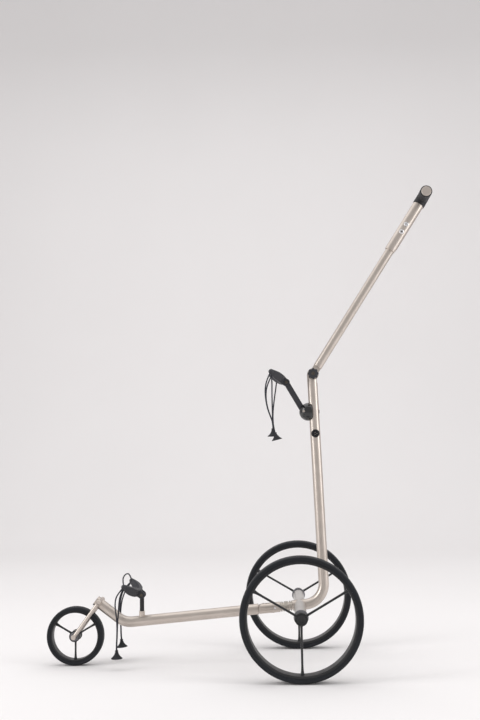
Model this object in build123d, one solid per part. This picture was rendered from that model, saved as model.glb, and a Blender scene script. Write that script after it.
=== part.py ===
from build123d import *
import os
from math import atan2, cos, degrees, hypot, pi, radians, sin, tan

# A three-wheeled golf trolley in titanium tube, folded by a spring-held knuckle in its front tube.
# Millimetres. -X is forwards, +Y is the trolley's right-hand side, +Z is up, and the floor is z = 0.
# The origin is on the floor, under the middle of the trolley's outline.

# Overall sizes
wheelbase = 555.4
track = 382.0
rear_wheel_diameter = 280.0
front_wheel_diameter = 141.8

# Front tube and its fork
frame_tube_od = 25.4
frame_tube_wall = 1.5
front_tube_slope = 5.22
front_bend_behind_axle = 121.9
front_bend_radius = 52.0
rise_angle = 37.0
rise_length = 88.0
fork_arm_diameter = 10.0
fork_half_gap = 22.0
fork_eye_diameter = 12.0
crown_bar_diameter = 12.0
crown_bar_back = 8.5
crown_bar_lift = 6.0

# Rear tube and upright
axle_height_over_tube = 1.3
upright_lean = 1.91
upright_x = 61.7
rear_bend_radius = 50.0
handle_pivot_height = 709.2
handle_pivot_setback = 2.3
clevis_length = 42.0
clevis_slot = 13.0
clevis_ear_radius = 14.3

# Axle and hubs
axle_tube_od = 28.0
axle_tube_wall = 2.0
axle_tube_length = 332.0
stub_axle_diameter = 10.0
bearing_od = 19.0
bearing_width = 5.0
hub_flange_diameter = 34.0
hub_diameter = 29.0
rear_tyre_width = 38.0
rear_rim_width = 34.0
rear_rim_depth = 6.0
rear_tyre_depth = 12.0
rear_spoke_width = 5.2

# Front wheel
front_tyre_width = 26.0
front_rim_width = 23.0
front_rim_depth = 4.5
front_tyre_depth = 10.5
front_hub_diameter = 26.5
front_hub_width = 30.0
front_axle_diameter = 8.0
front_bearing_od = 22.0
front_bearing_width = 7.0
front_spoke_width = 4.4

# Fold knuckle and its lock
knuckle_x = -88.0
knuckle_od = 25.0
knuckle_gap = 13.6
knuckle_length = 21.8
knuckle_slot = 10.4
fold_pin_diameter = 6.0
cam_radius = 8.0
cam_rise = 4.5
spigot_diameter = 19.0
collar_length = 17.9
spring_wire = 2.6
spring_turns = 5.5
lock_pin_diameter = 4.0

# Handle
handle_angle = 57.0
handle_length = 535.1
handle_tube_od = 22.0
handle_tube_wall = 1.5
handle_shoulder_gap = 11.0
upper_tube_wall = 1.5
collar_wall = 1.4
upper_tube_start = 386.0
collar_nose = 13.0
clamp_screw_places = (427.4, 450.1)
clamp_screw_head = 12.0
grip_length = 120.0
grip_diameter = 30.0
grip_bar_diameter = 24.5
grip_neck = 22.0
grip_neck_wall = 1.25
knob_diameter = 28.0
knob_lobes = 8
knob_thickness = 15.0
pivot_bolt_diameter = 8.0

# Bag supports
housing_radius = 22.7
housing_height = 614.9
housing_x = 31.4
housing_back_x = 41.1
arm_pivot_x = 20.0
arm_pivot_height = 616.0
arm_width = 14.3
arm_thickness = 12.0
upper_fork_x = -22.0
upper_fork_height = 689.5
upper_fork_angle = 148.0
lower_fork_behind_axle = 165.4
lower_fork_lift = 62.8
lower_fork_angle = 143.0
fork_reach = 44.0
fork_half_spread = 59.0
fork_root_width = 20.0
fork_tip_width = 12.5
fork_taper_start = 26.0
fork_tip_diameter = 13.0
post_diameter = 11.0
post_socket_od = 14.0
post_socket_height = 11.0
support_pin_diameter = 6.0

# Accessory socket
socket_height = 560.3
socket_diameter = 20.5
socket_bore_diameter = 14.0
socket_bore_depth = 6.0

# Cords
cord_diameter = 3.4
toggle_base_diameter = 27.5
toggle_height = 20.0
toggle_neck_diameter = 8.0

# Clearances
running_clearance = 0.05
seat_clearance = 0.05
side_clearance = 0.3
button_travel = 2.5
cord_gap = 0.25

# Worked out from the sizes above
rear_radius = rear_wheel_diameter / 2
front_radius = front_wheel_diameter / 2
tube_radius = frame_tube_od / 2
axle_radius = axle_tube_od / 2
half_track = track / 2
handle_direction = (cos(radians(handle_angle)), sin(radians(handle_angle)))
lean = tan(radians(upright_lean))
slope = tan(radians(front_tube_slope))
tube_line_z = rear_radius + axle_height_over_tube
corner_z = tube_line_z + slope * upright_x
front_bend_x = front_bend_behind_axle - wheelbase
lower_fork_x = lower_fork_behind_axle - wheelbase
main_tube_z = tube_line_z + slope * lower_fork_x
lower_fork_height = main_tube_z + lower_fork_lift
upper_tube_od = handle_tube_od + 2 * (collar_wall + upper_tube_wall + 2 * seat_clearance)
handle_shoulder = handle_tube_od / 2 + handle_shoulder_gap
handle_pivot_x = upright_x - lean * (handle_pivot_height - corner_z) + handle_pivot_setback
rear_reach = handle_pivot_x + handle_length * handle_direction[0] + grip_diameter / 2
front_reach = wheelbase + front_radius
axle_x = (front_reach - rear_reach) / 2
left, right = -1, 1
sides = {"left": left, "right": right}
parts = {}


def at(x, z, y=0.0):
    """A point of the side view, measured back from the rear axle and up from the floor."""
    return Vector(x + axle_x, y, z)


def add(name, *solids):
    """Keep a node's solids under its name."""
    parts[name] = Compound(children=list(solids)) if len(solids) > 1 else solids[0]


def rod(start, end, radius):
    """A round rod between two points."""
    line = end - start
    plane = Plane(origin=start, z_dir=line)
    align = (Align.CENTER, Align.CENTER, Align.MIN)
    return plane * Cylinder(radius, line.length, align=align)


def pipe(start, end, outer, inner):
    """A round tube between two points."""
    stretch = (end - start).normalized()
    return rod(start, end, outer) - rod(start - stretch, end + stretch, inner)


def across(x, z, y0, y1, radius):
    """A rod across the trolley, from y0 to y1."""
    return rod(at(x, z, y0), at(x, z, y1), radius)


def swept(points, bends, radius):
    """A rod along straight runs joined by tangent arcs."""
    route = FilletPolyline(*points, radius=bends)
    section = Plane(origin=route @ 0, z_dir=route % 0) * Circle(radius)
    return sweep(section, path=route)


def turned(outline, x, z, y, side):
    """A solid turned about a line across the trolley: (radius, outwards) points round its section."""
    profile = Plane.XY * make_face(Polyline(*[(r, side * t) for r, t in outline], close=True))
    return Pos(*at(x, z, y)) * revolve(profile, Axis.Y)


def plate(outline, half_thickness, place):
    """A plate in the side view, of that half thickness, from an outline in the place's own x and z."""
    face = Plane.XZ * make_face(Polyline(*outline, close=True))
    return place * extrude(face, half_thickness, both=True)


def tilted(x, z, angle):
    """A place in the side view whose own +x points that many degrees above the trolley's +x."""
    return Pos(*at(x, z)) * Rot(0, -angle, 0)


def along(place, start, end, radius):
    """A rod along the own x axis of a place."""
    length = end - start
    align = (Align.CENTER, Align.CENTER, Align.MIN)
    return place * Pos(start, 0, 0) * Rot(0, 90, 0) * Cylinder(radius, length, align=align)


def side_pin(place, x, z, y0, y1, radius):
    """A rod across the trolley at a point of a place."""
    align = (Align.CENTER, Align.CENTER, Align.MIN)
    return place * Pos(x, y0, z) * Rot(-90, 0, 0) * Cylinder(radius, y1 - y0, align=align)


# ---------------------------------------------------------------- axle and chassis

axle_half = axle_tube_length / 2
axle_bore = axle_radius - axle_tube_wall
axle_body = across(0, rear_radius, -axle_half, axle_half, axle_radius)
axle_tube = axle_body - across(0, rear_radius, -axle_half, axle_half, axle_bore)

corner = at(upright_x, corner_z)
upright_up = Vector(-sin(radians(upright_lean)), 0, cos(radians(upright_lean)))
upright_axis = at(handle_pivot_x - handle_pivot_setback, handle_pivot_height)
upright_top = upright_axis - upright_up * clevis_length
tube_start = at(0, tube_line_z)
frame_bore = tube_radius - frame_tube_wall


bend_turn = radians(90 + upright_lean - front_tube_slope)
bend_top = corner + upright_up * (rear_bend_radius * tan(bend_turn / 2) + 4)


def rear_bend():
    """The rear tube's lower stretch: out of the axle tube and round the bend."""
    points = (tube_start, corner, bend_top)
    outer = swept(points, rear_bend_radius, tube_radius)
    inner = swept(points, rear_bend_radius, frame_bore)
    return outer - inner - axle_body


def in_upright(height):
    """The point of the upright's axis at that height."""
    return at(upright_x - lean * (height - corner_z), height)


socket_axis = in_upright(socket_height)
socket_face_y = -tube_radius - 1.2
socket_plane = Plane(origin=Vector(socket_axis.X, socket_face_y, socket_axis.Z), z_dir=(0, 1, 0))
downwards = (Align.CENTER, Align.CENTER, Align.MIN)
socket_body = socket_plane * Cylinder(socket_diameter / 2, 9, align=downwards)
socket_bore = socket_plane * Cylinder(socket_bore_diameter / 2, socket_bore_depth, align=downwards)
socket_hole = socket_plane * Cylinder(socket_diameter / 2 + seat_clearance, 9.2, align=downwards)

housing_place = Pos(*in_upright(housing_height)) * Rot(0, -upright_lean, 0)
upright_space = housing_place * Cylinder(tube_radius, 90)
housing_thread_radius = 2.5
tube_back_x = in_upright(housing_height).X - axle_x + tube_radius
housing_screw_tip = at(tube_back_x - 2 * tube_radius - 2.5, housing_height)
housing_screw_end = at(tube_back_x + 0.2, housing_height)
housing_screw_hole = rod(
    housing_screw_tip - Vector(3, 0, 0), housing_screw_end + Vector(12, 0, 0), housing_thread_radius,
)

add("axle_tube", axle_tube)
add("rear_bend", rear_bend())
upright = pipe(bend_top, upright_top, tube_radius, frame_bore)
add("upright_tube", upright - socket_hole - housing_screw_hole)


def axle_bush(side):
    """A bush pressed into the end of the axle tube, with a flange that closes it."""
    bore = stub_axle_diameter / 2 + seat_clearance
    seat = axle_bore - seat_clearance
    outline = ((bore, -34), (seat, -34), (seat, 0), (axle_radius, 0), (axle_radius, 3), (bore, 3))
    return turned(outline, 0, rear_radius, side * axle_half, side)


hub_inner = -19.0
hub_outer = 13.0
axle_flange = half_track + hub_inner - axle_half - 1.5


def stub_axle(side):
    """A stub axle with a shoulder against the bush and a groove for its clip."""
    r = stub_axle_diameter / 2
    tip = half_track + 4.0 - axle_half
    groove = tip - 1.8
    outline = (
        (0, -30), (r, -30), (r, 3), (8.5, 3), (8.5, axle_flange), (r, axle_flange), (r, groove),
        (r - 0.8, groove), (r - 0.8, groove + 1.0), (r, groove + 1.0), (r - 0.6, tip), (0, tip),
    )
    return turned(outline, 0, rear_radius, side * axle_half, side)


def axle_clip(side):
    """The clip in the stub axle's groove, which keeps the wheel on."""
    groove = half_track + 4.0 - axle_half - 1.8
    r = stub_axle_diameter / 2 - 0.8
    outline = ((r, groove + 0.05), (7.4, groove + 0.05), (7.4, groove + 0.95), (r, groove + 0.95))
    return turned(outline, 0, rear_radius, side * axle_half, side)


def clamp_screw(side):
    """A small screw up into the underside of the axle tube, which clamps the bush."""
    y = side * (axle_half - 12)
    z = rear_radius - axle_radius
    body = rod(at(-2, z - 5, y), at(-2, z + 0.3, y), 3.0)
    tip = rod(at(-2, z - 8, y), at(-2, z - 5, y), 2.2)
    return body + tip - axle_body


add("axle_bushes", axle_bush(left), axle_bush(right))
add("stub_axles", stub_axle(left), stub_axle(right), axle_clip(left), axle_clip(right))

# ---------------------------------------------------------------- fold knuckle

knuckle_z = tube_line_z + slope * knuckle_x
knuckle = tilted(knuckle_x, knuckle_z, front_tube_slope)
axle_distance = -knuckle_x / cos(radians(front_tube_slope))
knuckle_half_slot = knuckle_slot / 2
knuckle_radius = knuckle_od / 2
slot_end = 15.0
spigot_bore = 4.2
collar_start = knuckle_length
collar_end = collar_start + collar_length
spring_end = axle_distance - axle_radius - 3.6
lock_pin_x = collar_start + 5.5


def knuckle_base():
    """The rear half of the knuckle: two ears, a spigot for collar and spring, and a seat at the axle."""
    head = along(knuckle, -knuckle_radius, collar_start - side_clearance, knuckle_radius)
    top_front = plate(((-20, 0), (0, 0), (0, 20), (-20, 20)), 20, knuckle)
    head = head - top_front + (top_front & side_pin(knuckle, 0, 0, -12, 12, knuckle_radius) & head)
    spigot = along(knuckle, collar_start - side_clearance, axle_distance, spigot_diameter / 2)
    seat = along(knuckle, spring_end, axle_distance, knuckle_radius)
    slot = plate(((-20, -20), (slot_end, -20), (slot_end, 20), (-20, 20)), knuckle_half_slot, knuckle)
    pin_hole = side_pin(knuckle, 0, 0, -20, 20, fold_pin_diameter / 2 + seat_clearance)
    plunger_hole = along(knuckle, slot_end - 1, collar_end + 6, spigot_bore)
    pin_slot = plate(
        (
            (lock_pin_x - 2.5, -2.3), (lock_pin_x + cam_rise + 3, -2.3),
            (lock_pin_x + cam_rise + 3, 2.3), (lock_pin_x - 2.5, 2.3),
        ),
        20,
        knuckle,
    )
    return head + spigot + seat - slot - pin_hole - plunger_hole - pin_slot - axle_body


def cam_outline(steps=18):
    """The tongue's edge above the tube's axis, which grows evenly as the knuckle turns."""
    angles = [pi / 2 * i / steps for i in range(steps + 1)]
    return [
        ((cam_radius + cam_rise * a / (pi / 2)) * cos(a), (cam_radius + cam_rise * a / (pi / 2)) * sin(a))
        for a in angles
    ]


def fold_tongue():
    """The front half of the knuckle: a flat tongue with a cam, and a plug in the front tube."""
    half = knuckle_half_slot - 0.2
    neck = cam_radius + 1.0
    bottom = [(-neck * 0.2, -neck), (cam_radius * 0.7, -cam_radius * 0.7)]
    outline = cam_outline() + [(-knuckle_gap, 9.5), (-knuckle_gap, -neck)] + bottom
    tongue = plate(outline, half, knuckle)
    plug = along(knuckle, -knuckle_gap - 30, -knuckle_gap, frame_bore - seat_clearance)
    pin_hole = side_pin(knuckle, 0, 0, -20, 20, fold_pin_diameter / 2 + running_clearance)
    return tongue + plug - pin_hole


def fold_pin():
    """The knuckle's pin, with a low head on the near side and a riveted end on the other."""
    shank = side_pin(knuckle, 0, 0, -knuckle_radius, knuckle_radius, fold_pin_diameter / 2)
    head = side_pin(knuckle, 0, 0, -knuckle_radius - 1.2, -knuckle_radius, 4.5)
    tail = side_pin(knuckle, 0, 0, knuckle_radius, knuckle_radius + 1.2, 4.5)
    return shank + head + tail


add("knuckle_base", knuckle_base())


def lock_collar():
    """The sliding collar over the spigot, with a raised ring at its front."""
    body = along(knuckle, collar_start, collar_end, knuckle_radius - 0.2)
    ring = along(knuckle, collar_start, collar_start + 2.2, knuckle_radius + 0.5)
    bore = along(knuckle, collar_start - 1, collar_end + 1, spigot_diameter / 2 + running_clearance)
    hole = side_pin(knuckle, lock_pin_x, 0, -20, 20, lock_pin_diameter / 2 + seat_clearance)
    return body + ring - bore - hole


def lock_pin():
    """The cross pin that ties the collar to the plunger through the spigot's slots."""
    reach = knuckle_radius + 0.6
    shank = side_pin(knuckle, lock_pin_x, 0, -reach, reach, lock_pin_diameter / 2)
    return shank


def lock_plunger():
    """The plunger that the spring holds against the tongue's cam."""
    nose = cam_radius + 0.9
    body = along(knuckle, nose, collar_end, spigot_bore - running_clearance)
    hole = side_pin(knuckle, lock_pin_x, 0, -20, 20, lock_pin_diameter / 2 + seat_clearance)
    return body - hole


def lock_spring():
    """The spring between the collar and the seat at the axle."""
    length = spring_end - collar_end - spring_wire
    radius = spigot_diameter / 2 + 0.3 + spring_wire / 2
    coil = Helix(pitch=length / spring_turns, height=length, radius=radius)
    section = Plane(origin=coil @ 0, z_dir=coil % 0) * Circle(spring_wire / 2)
    start = collar_end + spring_wire / 2
    return knuckle * Pos(start, 0, 0) * Rot(0, 90, 0) * sweep(section, path=coil)


add("lock_collar", lock_collar())
add("lock_plunger", lock_plunger(), lock_pin())
add("lock_spring", lock_spring())

# ---------------------------------------------------------------- front tube and fork

front_bend_z = tube_line_z + slope * front_bend_x
rise_x = cos(radians(rise_angle))
rise_z = sin(radians(rise_angle))
tip_x = front_bend_x - rise_length * rise_x
tip_z = front_bend_z + rise_length * rise_z
front_tube_start = (knuckle * Pos(-knuckle_gap, 0, 0)).position
front_tip = at(tip_x, tip_z)
crown_x = tip_x + crown_bar_back * rise_x + crown_bar_lift * rise_z
crown_z = tip_z - crown_bar_back * rise_z + crown_bar_lift * rise_x
post_hole = rod(
    at(lower_fork_x, main_tube_z), at(lower_fork_x, main_tube_z + 2 * tube_radius),
    post_socket_od / 2 + seat_clearance,
)
crown_hole = across(crown_x, crown_z, -20, 20, crown_bar_diameter / 2 + seat_clearance)


def front_tube():
    """The front tube, from the knuckle to the fork, with holes for post socket and crown bar."""
    points = (front_tube_start, at(front_bend_x, front_bend_z), front_tip)
    outer = swept(points, front_bend_radius, tube_radius)
    inner = swept(points, front_bend_radius, frame_bore)
    return outer - inner - post_hole - crown_hole


def tube_ring():
    """The raised ring at the front tube's open end."""
    body = along(knuckle, -knuckle_gap - 2.6, -knuckle_gap - 0.2, tube_radius + 0.6)
    return body - along(knuckle, -knuckle_gap - 4, -knuckle_gap + 1, tube_radius - 0.5)


add("fold_tongue", fold_tongue())


def crown_bar():
    """The bar through the tube's end that carries the two fork arms."""
    reach = fork_half_gap + 5.5
    bar = across(crown_x, crown_z, -reach, reach, crown_bar_diameter / 2)
    return chamfer(bar.edges().filter_by(GeomType.CIRCLE), 1.6)


def fork_arm(side):
    """A fork arm, with an eye round the front axle."""
    y = side * fork_half_gap
    arm = rod(at(crown_x, crown_z, y), at(-wheelbase, front_radius, y), fork_arm_diameter / 2)
    half = fork_arm_diameter / 2
    eye = across(-wheelbase, front_radius, y - half, y + half, fork_eye_diameter / 2)
    hole = across(-wheelbase, front_radius, y - 8, y + 8, front_axle_diameter / 2 + seat_clearance)
    bar = across(crown_x, crown_z, -40, 40, crown_bar_diameter / 2)
    return arm + eye - hole - bar


def front_axle():
    """The front axle: a bolt between the fork arms, with its spacers."""
    r = front_axle_diameter / 2
    reach = fork_half_gap + fork_arm_diameter / 2
    shaft = across(-wheelbase, front_radius, -reach, reach, r)
    head = across(-wheelbase, front_radius, -reach - 0.8, -reach, r + 0.9)
    tail = across(-wheelbase, front_radius, reach, reach + 0.8, r + 0.9)
    inside = fork_half_gap - fork_arm_diameter / 2
    length = inside - front_hub_width / 2 - side_clearance
    section = ((r, 0), (r + 1.6, 0), (r + 1.6, length), (r, length))
    spacers = turned(section, -wheelbase, front_radius, -inside, right)
    spacers += turned(section, -wheelbase, front_radius, inside, left)
    return shaft + head + tail + spacers


def end_plug():
    """The plug that closes the open end of the front tube."""
    place = Plane(origin=front_tip, z_dir=(-rise_x, 0, rise_z))
    stem = place * Cylinder(frame_bore - seat_clearance, 4, align=(Align.CENTER, Align.CENTER, Align.MAX))
    lid = place * Cylinder(tube_radius, 1.6, align=downwards)
    return stem + lid - crown_hole


def crown_screw():
    """The screw in the near side of the tube that holds the crown bar's wedge."""
    x = tip_x + 21 * rise_x
    z = tip_z - 21 * rise_z
    return across(x, z, -tube_radius - 1.2, -tube_radius + 3.5, 2.6)


add("front_tube", front_tube() + tube_ring() - crown_screw())
add("crown_bar", crown_bar(), end_plug())
add("fork_arms", fork_arm(left), fork_arm(right))
add("front_fasteners", front_axle(), crown_screw())

# ---------------------------------------------------------------- wheels


def crowned_tyre(radius, depth, width, x, z, y):
    """A solid tyre with flat sides and a rounded tread."""
    half = width / 2
    seat = radius - depth
    shoulder = radius - depth * 0.36
    sides_line = Polyline((shoulder, -half), (seat + 1.2, -half), (seat, -half + 2), (seat, half - 2),
                          (seat + 1.2, half), (shoulder, half))
    tread = ThreePointArc((shoulder, half), (radius, 0), (shoulder, -half))
    return Pos(*at(x, z, y)) * revolve(make_face(sides_line + tread), Axis.Y)


def spoke(angle, inner, outer, width, depth):
    """A spoke: a slim blade that widens where it meets the rim."""
    blade = extrude(Ellipse(width / 2, depth / 2), outer - inner)
    foot = extrude(Ellipse(width / 2, depth / 2), 12, taper=-14)
    shape = Pos(0, 0, inner) * blade + Pos(0, 0, outer - 12) * foot
    return Rot(0, angle, 0) * shape


def wheel_centre(radius, tyre_depth, rim_depth, rim_width, spoke_width, hub, x, z, y):
    """A moulded wheel centre: rim, three spokes and hub in one piece. hub is its turned section."""
    seat = radius - tyre_depth
    half = rim_width / 2
    rim_inner = seat - rim_depth
    rim = revolve(
        make_face(Polyline((rim_inner + 1, -half), (seat, -half), (seat, half), (rim_inner + 1, half),
                           (rim_inner, half - 3), (rim_inner, -half + 3), close=True)),
        Axis.Y,
    )
    core = revolve(make_face(Polyline(*hub, close=True)), Axis.Y)
    hub_outside = max(r for r, _ in hub) - 5
    body = rim + core
    inside = Rot(90, 0, 0) * Cylinder(hub_outside + 1.5, 80)
    for angle in (60, 180, 300):
        body += spoke(angle, hub_outside, rim_inner + 1, spoke_width, spoke_width * 1.7) - inside
    return Pos(*at(x, z, y)) * body


hub_bore = bearing_od / 2 + seat_clearance
cup_radius = hub_diameter / 2 - 1.6
hub_seat_1 = hub_inner + 1 + bearing_width
hub_seat_2 = 2.0 - bearing_width


def rear_hub(side):
    """The rear hub's section: an inner flange, two bearing seats and a cup for the button."""
    outline = (
        (hub_bore, hub_inner), (hub_flange_diameter / 2, hub_inner),
        (hub_flange_diameter / 2, hub_inner + 4),
        (hub_diameter / 2 - 1, hub_inner + 9), (hub_diameter / 2 - 1, 0), (hub_diameter / 2, 4),
        (hub_diameter / 2, hub_outer), (cup_radius, hub_outer), (cup_radius, 4), (hub_bore, 4),
        (hub_bore, hub_seat_2), (7.5, hub_seat_2), (7.5, hub_seat_1), (hub_bore, hub_seat_1),
    )
    return [(r, side * t) for r, t in outline]


def bearing(x, z, y, inner, outer, start, width, side):
    """A sealed bearing as one ring."""
    shoulder = 0.4
    outline = (
        (inner, start + shoulder), (inner + shoulder, start),
        (outer - shoulder, start), (outer, start + shoulder),
        (outer, start + width - shoulder), (outer - shoulder, start + width),
        (inner + shoulder, start + width), (inner, start + width - shoulder),
    )
    return turned(outline, x, z, y, side)


def release_button(side):
    """The button in the hub's cup, with a dished face and a hollow for its spring."""
    r = cup_radius - 0.2
    rim = hub_outer + 0.6
    outline = (
        (0, 9.4), (8.6, 9.4), (8.6, 4 + button_travel + 0.6), (r, 4 + button_travel + 0.6), (r, rim - 1.6),
        (r - 1.8, rim), (r - 3.6, rim - 0.2), (r - 6.5, rim - 1.5), (0, rim - 2.2),
    )
    return turned(outline, 0, rear_radius, side * half_track, side)


def button_spring(side):
    """The spring under a release button."""
    wire = 1.0
    coil = Helix(pitch=1.45, height=4.35, radius=7.6 - 0.5 * wire)
    section = Plane(origin=coil @ 0, z_dir=coil % 0) * Circle(wire / 2)
    spring = sweep(section, path=coil)
    start = at(0, rear_radius, side * (half_track + 4.5))
    return Pos(*start) * Rot(-90 * side, 0, 0) * spring


for name, side in sides.items():
    y = side * half_track
    add(f"tyre_{name}", crowned_tyre(rear_radius, rear_tyre_depth, rear_tyre_width, 0, rear_radius, y))
    add(
        f"wheel_{name}",
        wheel_centre(rear_radius, rear_tyre_depth, rear_rim_depth, rear_rim_width, rear_spoke_width,
                     rear_hub(side), 0, rear_radius, y),
    )
    inner_radius = stub_axle_diameter / 2 + running_clearance
    outer_radius = bearing_od / 2
    add(
        f"bearings_{name}",
        bearing(0, rear_radius, y, inner_radius, outer_radius, hub_inner + 1, bearing_width, side),
        bearing(0, rear_radius, y, inner_radius, outer_radius, hub_seat_2, bearing_width - 0.2, side),
    )
    add(f"release_button_{name}", release_button(side))
    add(f"button_spring_{name}", button_spring(side))

front_hub_half = front_hub_width / 2
front_seat = front_bearing_od / 2 + seat_clearance
front_hub_section = (
    (front_seat, -front_hub_half), (front_hub_diameter / 2, -front_hub_half),
    (front_hub_diameter / 2, -front_hub_half + 4), (front_hub_diameter / 2 - 1.5, -front_hub_half + 6),
    (front_hub_diameter / 2 - 1.5, front_hub_half - 6), (front_hub_diameter / 2, front_hub_half - 4),
    (front_hub_diameter / 2, front_hub_half), (front_seat, front_hub_half),
    (front_seat, front_hub_half - front_bearing_width), (8.0, front_hub_half - front_bearing_width),
    (8.0, -front_hub_half + front_bearing_width), (front_seat, -front_hub_half + front_bearing_width),
)
add(
    "front_tyre",
    crowned_tyre(front_radius, front_tyre_depth, front_tyre_width, -wheelbase, front_radius, 0),
)
add(
    "front_wheel",
    wheel_centre(front_radius, front_tyre_depth, front_rim_depth, front_rim_width, front_spoke_width,
                 front_hub_section, -wheelbase, front_radius, 0),
)
front_bearing_bore = front_axle_diameter / 2 + running_clearance
front_bearing_outer = front_bearing_od / 2
add(
    "front_bearings",
    bearing(-wheelbase, front_radius, 0, front_bearing_bore, front_bearing_outer,
            front_hub_half - front_bearing_width, front_bearing_width, left),
    bearing(-wheelbase, front_radius, 0, front_bearing_bore, front_bearing_outer,
            front_hub_half - front_bearing_width, front_bearing_width, right),
)

# ---------------------------------------------------------------- upright clevis and handle

pivot = at(handle_pivot_x, handle_pivot_height)
clevis_place = Pos(*upright_axis) * Rot(0, -upright_lean, 0)
clevis_half = tube_radius
slot_half = clevis_slot / 2
tongue_half_width = 9.8
fold_back = 98.0
lowest_angle = handle_angle - fold_back


def swing_slot():
    """The space that the handle's tongue sweeps, from upright to folded back."""
    reach = tongue_half_width + side_clearance
    place = Pos(*pivot)
    low = radians(lowest_angle)
    start = (reach * sin(low), -reach * cos(low))
    far = (start[0] + 70 * cos(low), start[1] + 70 * sin(low))
    outline = ((-reach, 40), (40, 40), (60, far[1]), far, start, (-reach, 0))
    fan = plate(outline, slot_half, place)
    return fan + side_pin(place, 0, 0, -slot_half, slot_half, reach + 0.6)


def upright_clevis():
    """The clevis plugged into the top of the upright: two ears round the handle's tongue."""
    align = (Align.CENTER, Align.CENTER, Align.MAX)
    body = clevis_place * Cylinder(tube_radius, clevis_length, align=align)
    ears = side_pin(Pos(*pivot), 0, 0, -clevis_half, clevis_half, clevis_ear_radius)
    stem_top = Pos(*upright_top) * Rot(0, -upright_lean, 0)
    stem = stem_top * Cylinder(frame_bore - seat_clearance, 30, align=align)
    bore = side_pin(Pos(*pivot), 0, 0, -20, 20, pivot_bolt_diameter / 2 + seat_clearance)
    return body + ears + stem - swing_slot() - bore


def pivot_bolt():
    """The handle's pivot bolt: a low head on the far side, its thread in the star knob."""
    place = Pos(*pivot)
    r = pivot_bolt_diameter / 2
    head = side_pin(place, 0, 0, clevis_half, clevis_half + 4, 7.0)
    washer = side_pin(place, 0, 0, -clevis_half - 1.5, -clevis_half, 8.0)
    shank = side_pin(place, 0, 0, -clevis_half - 12, clevis_half, r)
    return head + washer + shank


handle_bore = handle_tube_od / 2 - handle_tube_wall


def handle_tongue():
    """The handle's lower fitting: a flat tongue on the pivot and a plug in the lower tube."""
    place = tilted(handle_pivot_x, handle_pivot_height, handle_angle)
    half = slot_half - 0.2
    outline = ((0, -tongue_half_width), (handle_shoulder + 1, -tongue_half_width),
               (handle_shoulder + 1, tongue_half_width), (0, tongue_half_width))
    tongue = plate(outline, half, place) + side_pin(place, 0, 0, -half, half, tongue_half_width)
    shoulder = along(place, handle_shoulder, handle_shoulder + 4, handle_tube_od / 2)
    plug = along(place, handle_shoulder + 4, handle_shoulder + 30, handle_bore - seat_clearance)
    bore = side_pin(place, 0, 0, -20, 20, pivot_bolt_diameter / 2 + running_clearance)
    return tongue + shoulder + plug - bore


handle_place = tilted(handle_pivot_x, handle_pivot_height, handle_angle)
upper_bore = upper_tube_od / 2 - upper_tube_wall
lower_tube_end = clamp_screw_places[1] + 20
grip_centre = at(
    handle_pivot_x + handle_length * handle_direction[0],
    handle_pivot_height + handle_length * handle_direction[1],
)
grip_half = grip_length / 2
grip_axis_start = Vector(grip_centre.X, -grip_half, grip_centre.Z)
grip_axis_end = Vector(grip_centre.X, grip_half, grip_centre.Z)
grip_bar_body = rod(grip_axis_start, grip_axis_end, grip_bar_diameter / 2)
screw_rods = [
    side_pin(handle_place, s, 0, -upper_tube_od / 2 - 1, -handle_bore + 2, 3.0) for s in clamp_screw_places
]


def handle_collar():
    """The reducing collar between the two handle tubes, with a nose bevelled on its underside."""
    outside = along(handle_place, upper_tube_start - collar_nose, upper_tube_start, upper_tube_od / 2)
    inside = along(handle_place, upper_tube_start, lower_tube_end - 5, upper_bore - seat_clearance)
    bore = along(handle_place, upper_tube_start - 20, lower_tube_end, handle_tube_od / 2 + seat_clearance)
    low = upper_tube_od / 2
    nose = upper_tube_start - collar_nose
    bevel = plate(
        ((upper_tube_start, -low), (nose - 0.5, -handle_tube_od / 2 - 0.6), (nose - 5, -low - 4),
         (upper_tube_start, -low - 4)),
        20,
        handle_place,
    )
    return outside + inside - bore - bevel


def clamp_screws():
    """The two screws in the near side of the upper tube, with recessed heads."""
    out = []
    face = -upper_tube_od / 2 - 2.4
    for s in clamp_screw_places:
        shank = side_pin(handle_place, s, 0, -upper_tube_od / 2 - 0.5, -handle_bore + 1.5, 2.95)
        head = side_pin(handle_place, s, 0, face, -upper_tube_od / 2 + 2.2, clamp_screw_head / 2)
        tube_space = along(handle_place, s - 20, s + 20, upper_tube_od / 2)
        recess = side_pin(handle_place, s, 0, face - 1, face + 1.8, 2.6)
        out.append(chamfer((head - tube_space).edges().group_by(Axis.Y)[0], 0.9) + shank - recess)
    return out


def grip_sleeve():
    """The rubber grip round the cross bar, with a neck down the tube."""
    bar = rod(grip_axis_start, grip_axis_end, grip_diameter / 2)
    bar = fillet(bar.edges().filter_by(GeomType.CIRCLE), 1.2)
    neck_radius = upper_tube_od / 2 + seat_clearance + grip_neck_wall
    neck = along(handle_place, handle_length - grip_neck, handle_length, neck_radius)
    tube = along(handle_place, handle_length - 40, handle_length, upper_tube_od / 2 + seat_clearance)
    return bar + neck - tube - rod(grip_axis_start, grip_axis_end, grip_bar_diameter / 2)


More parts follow.
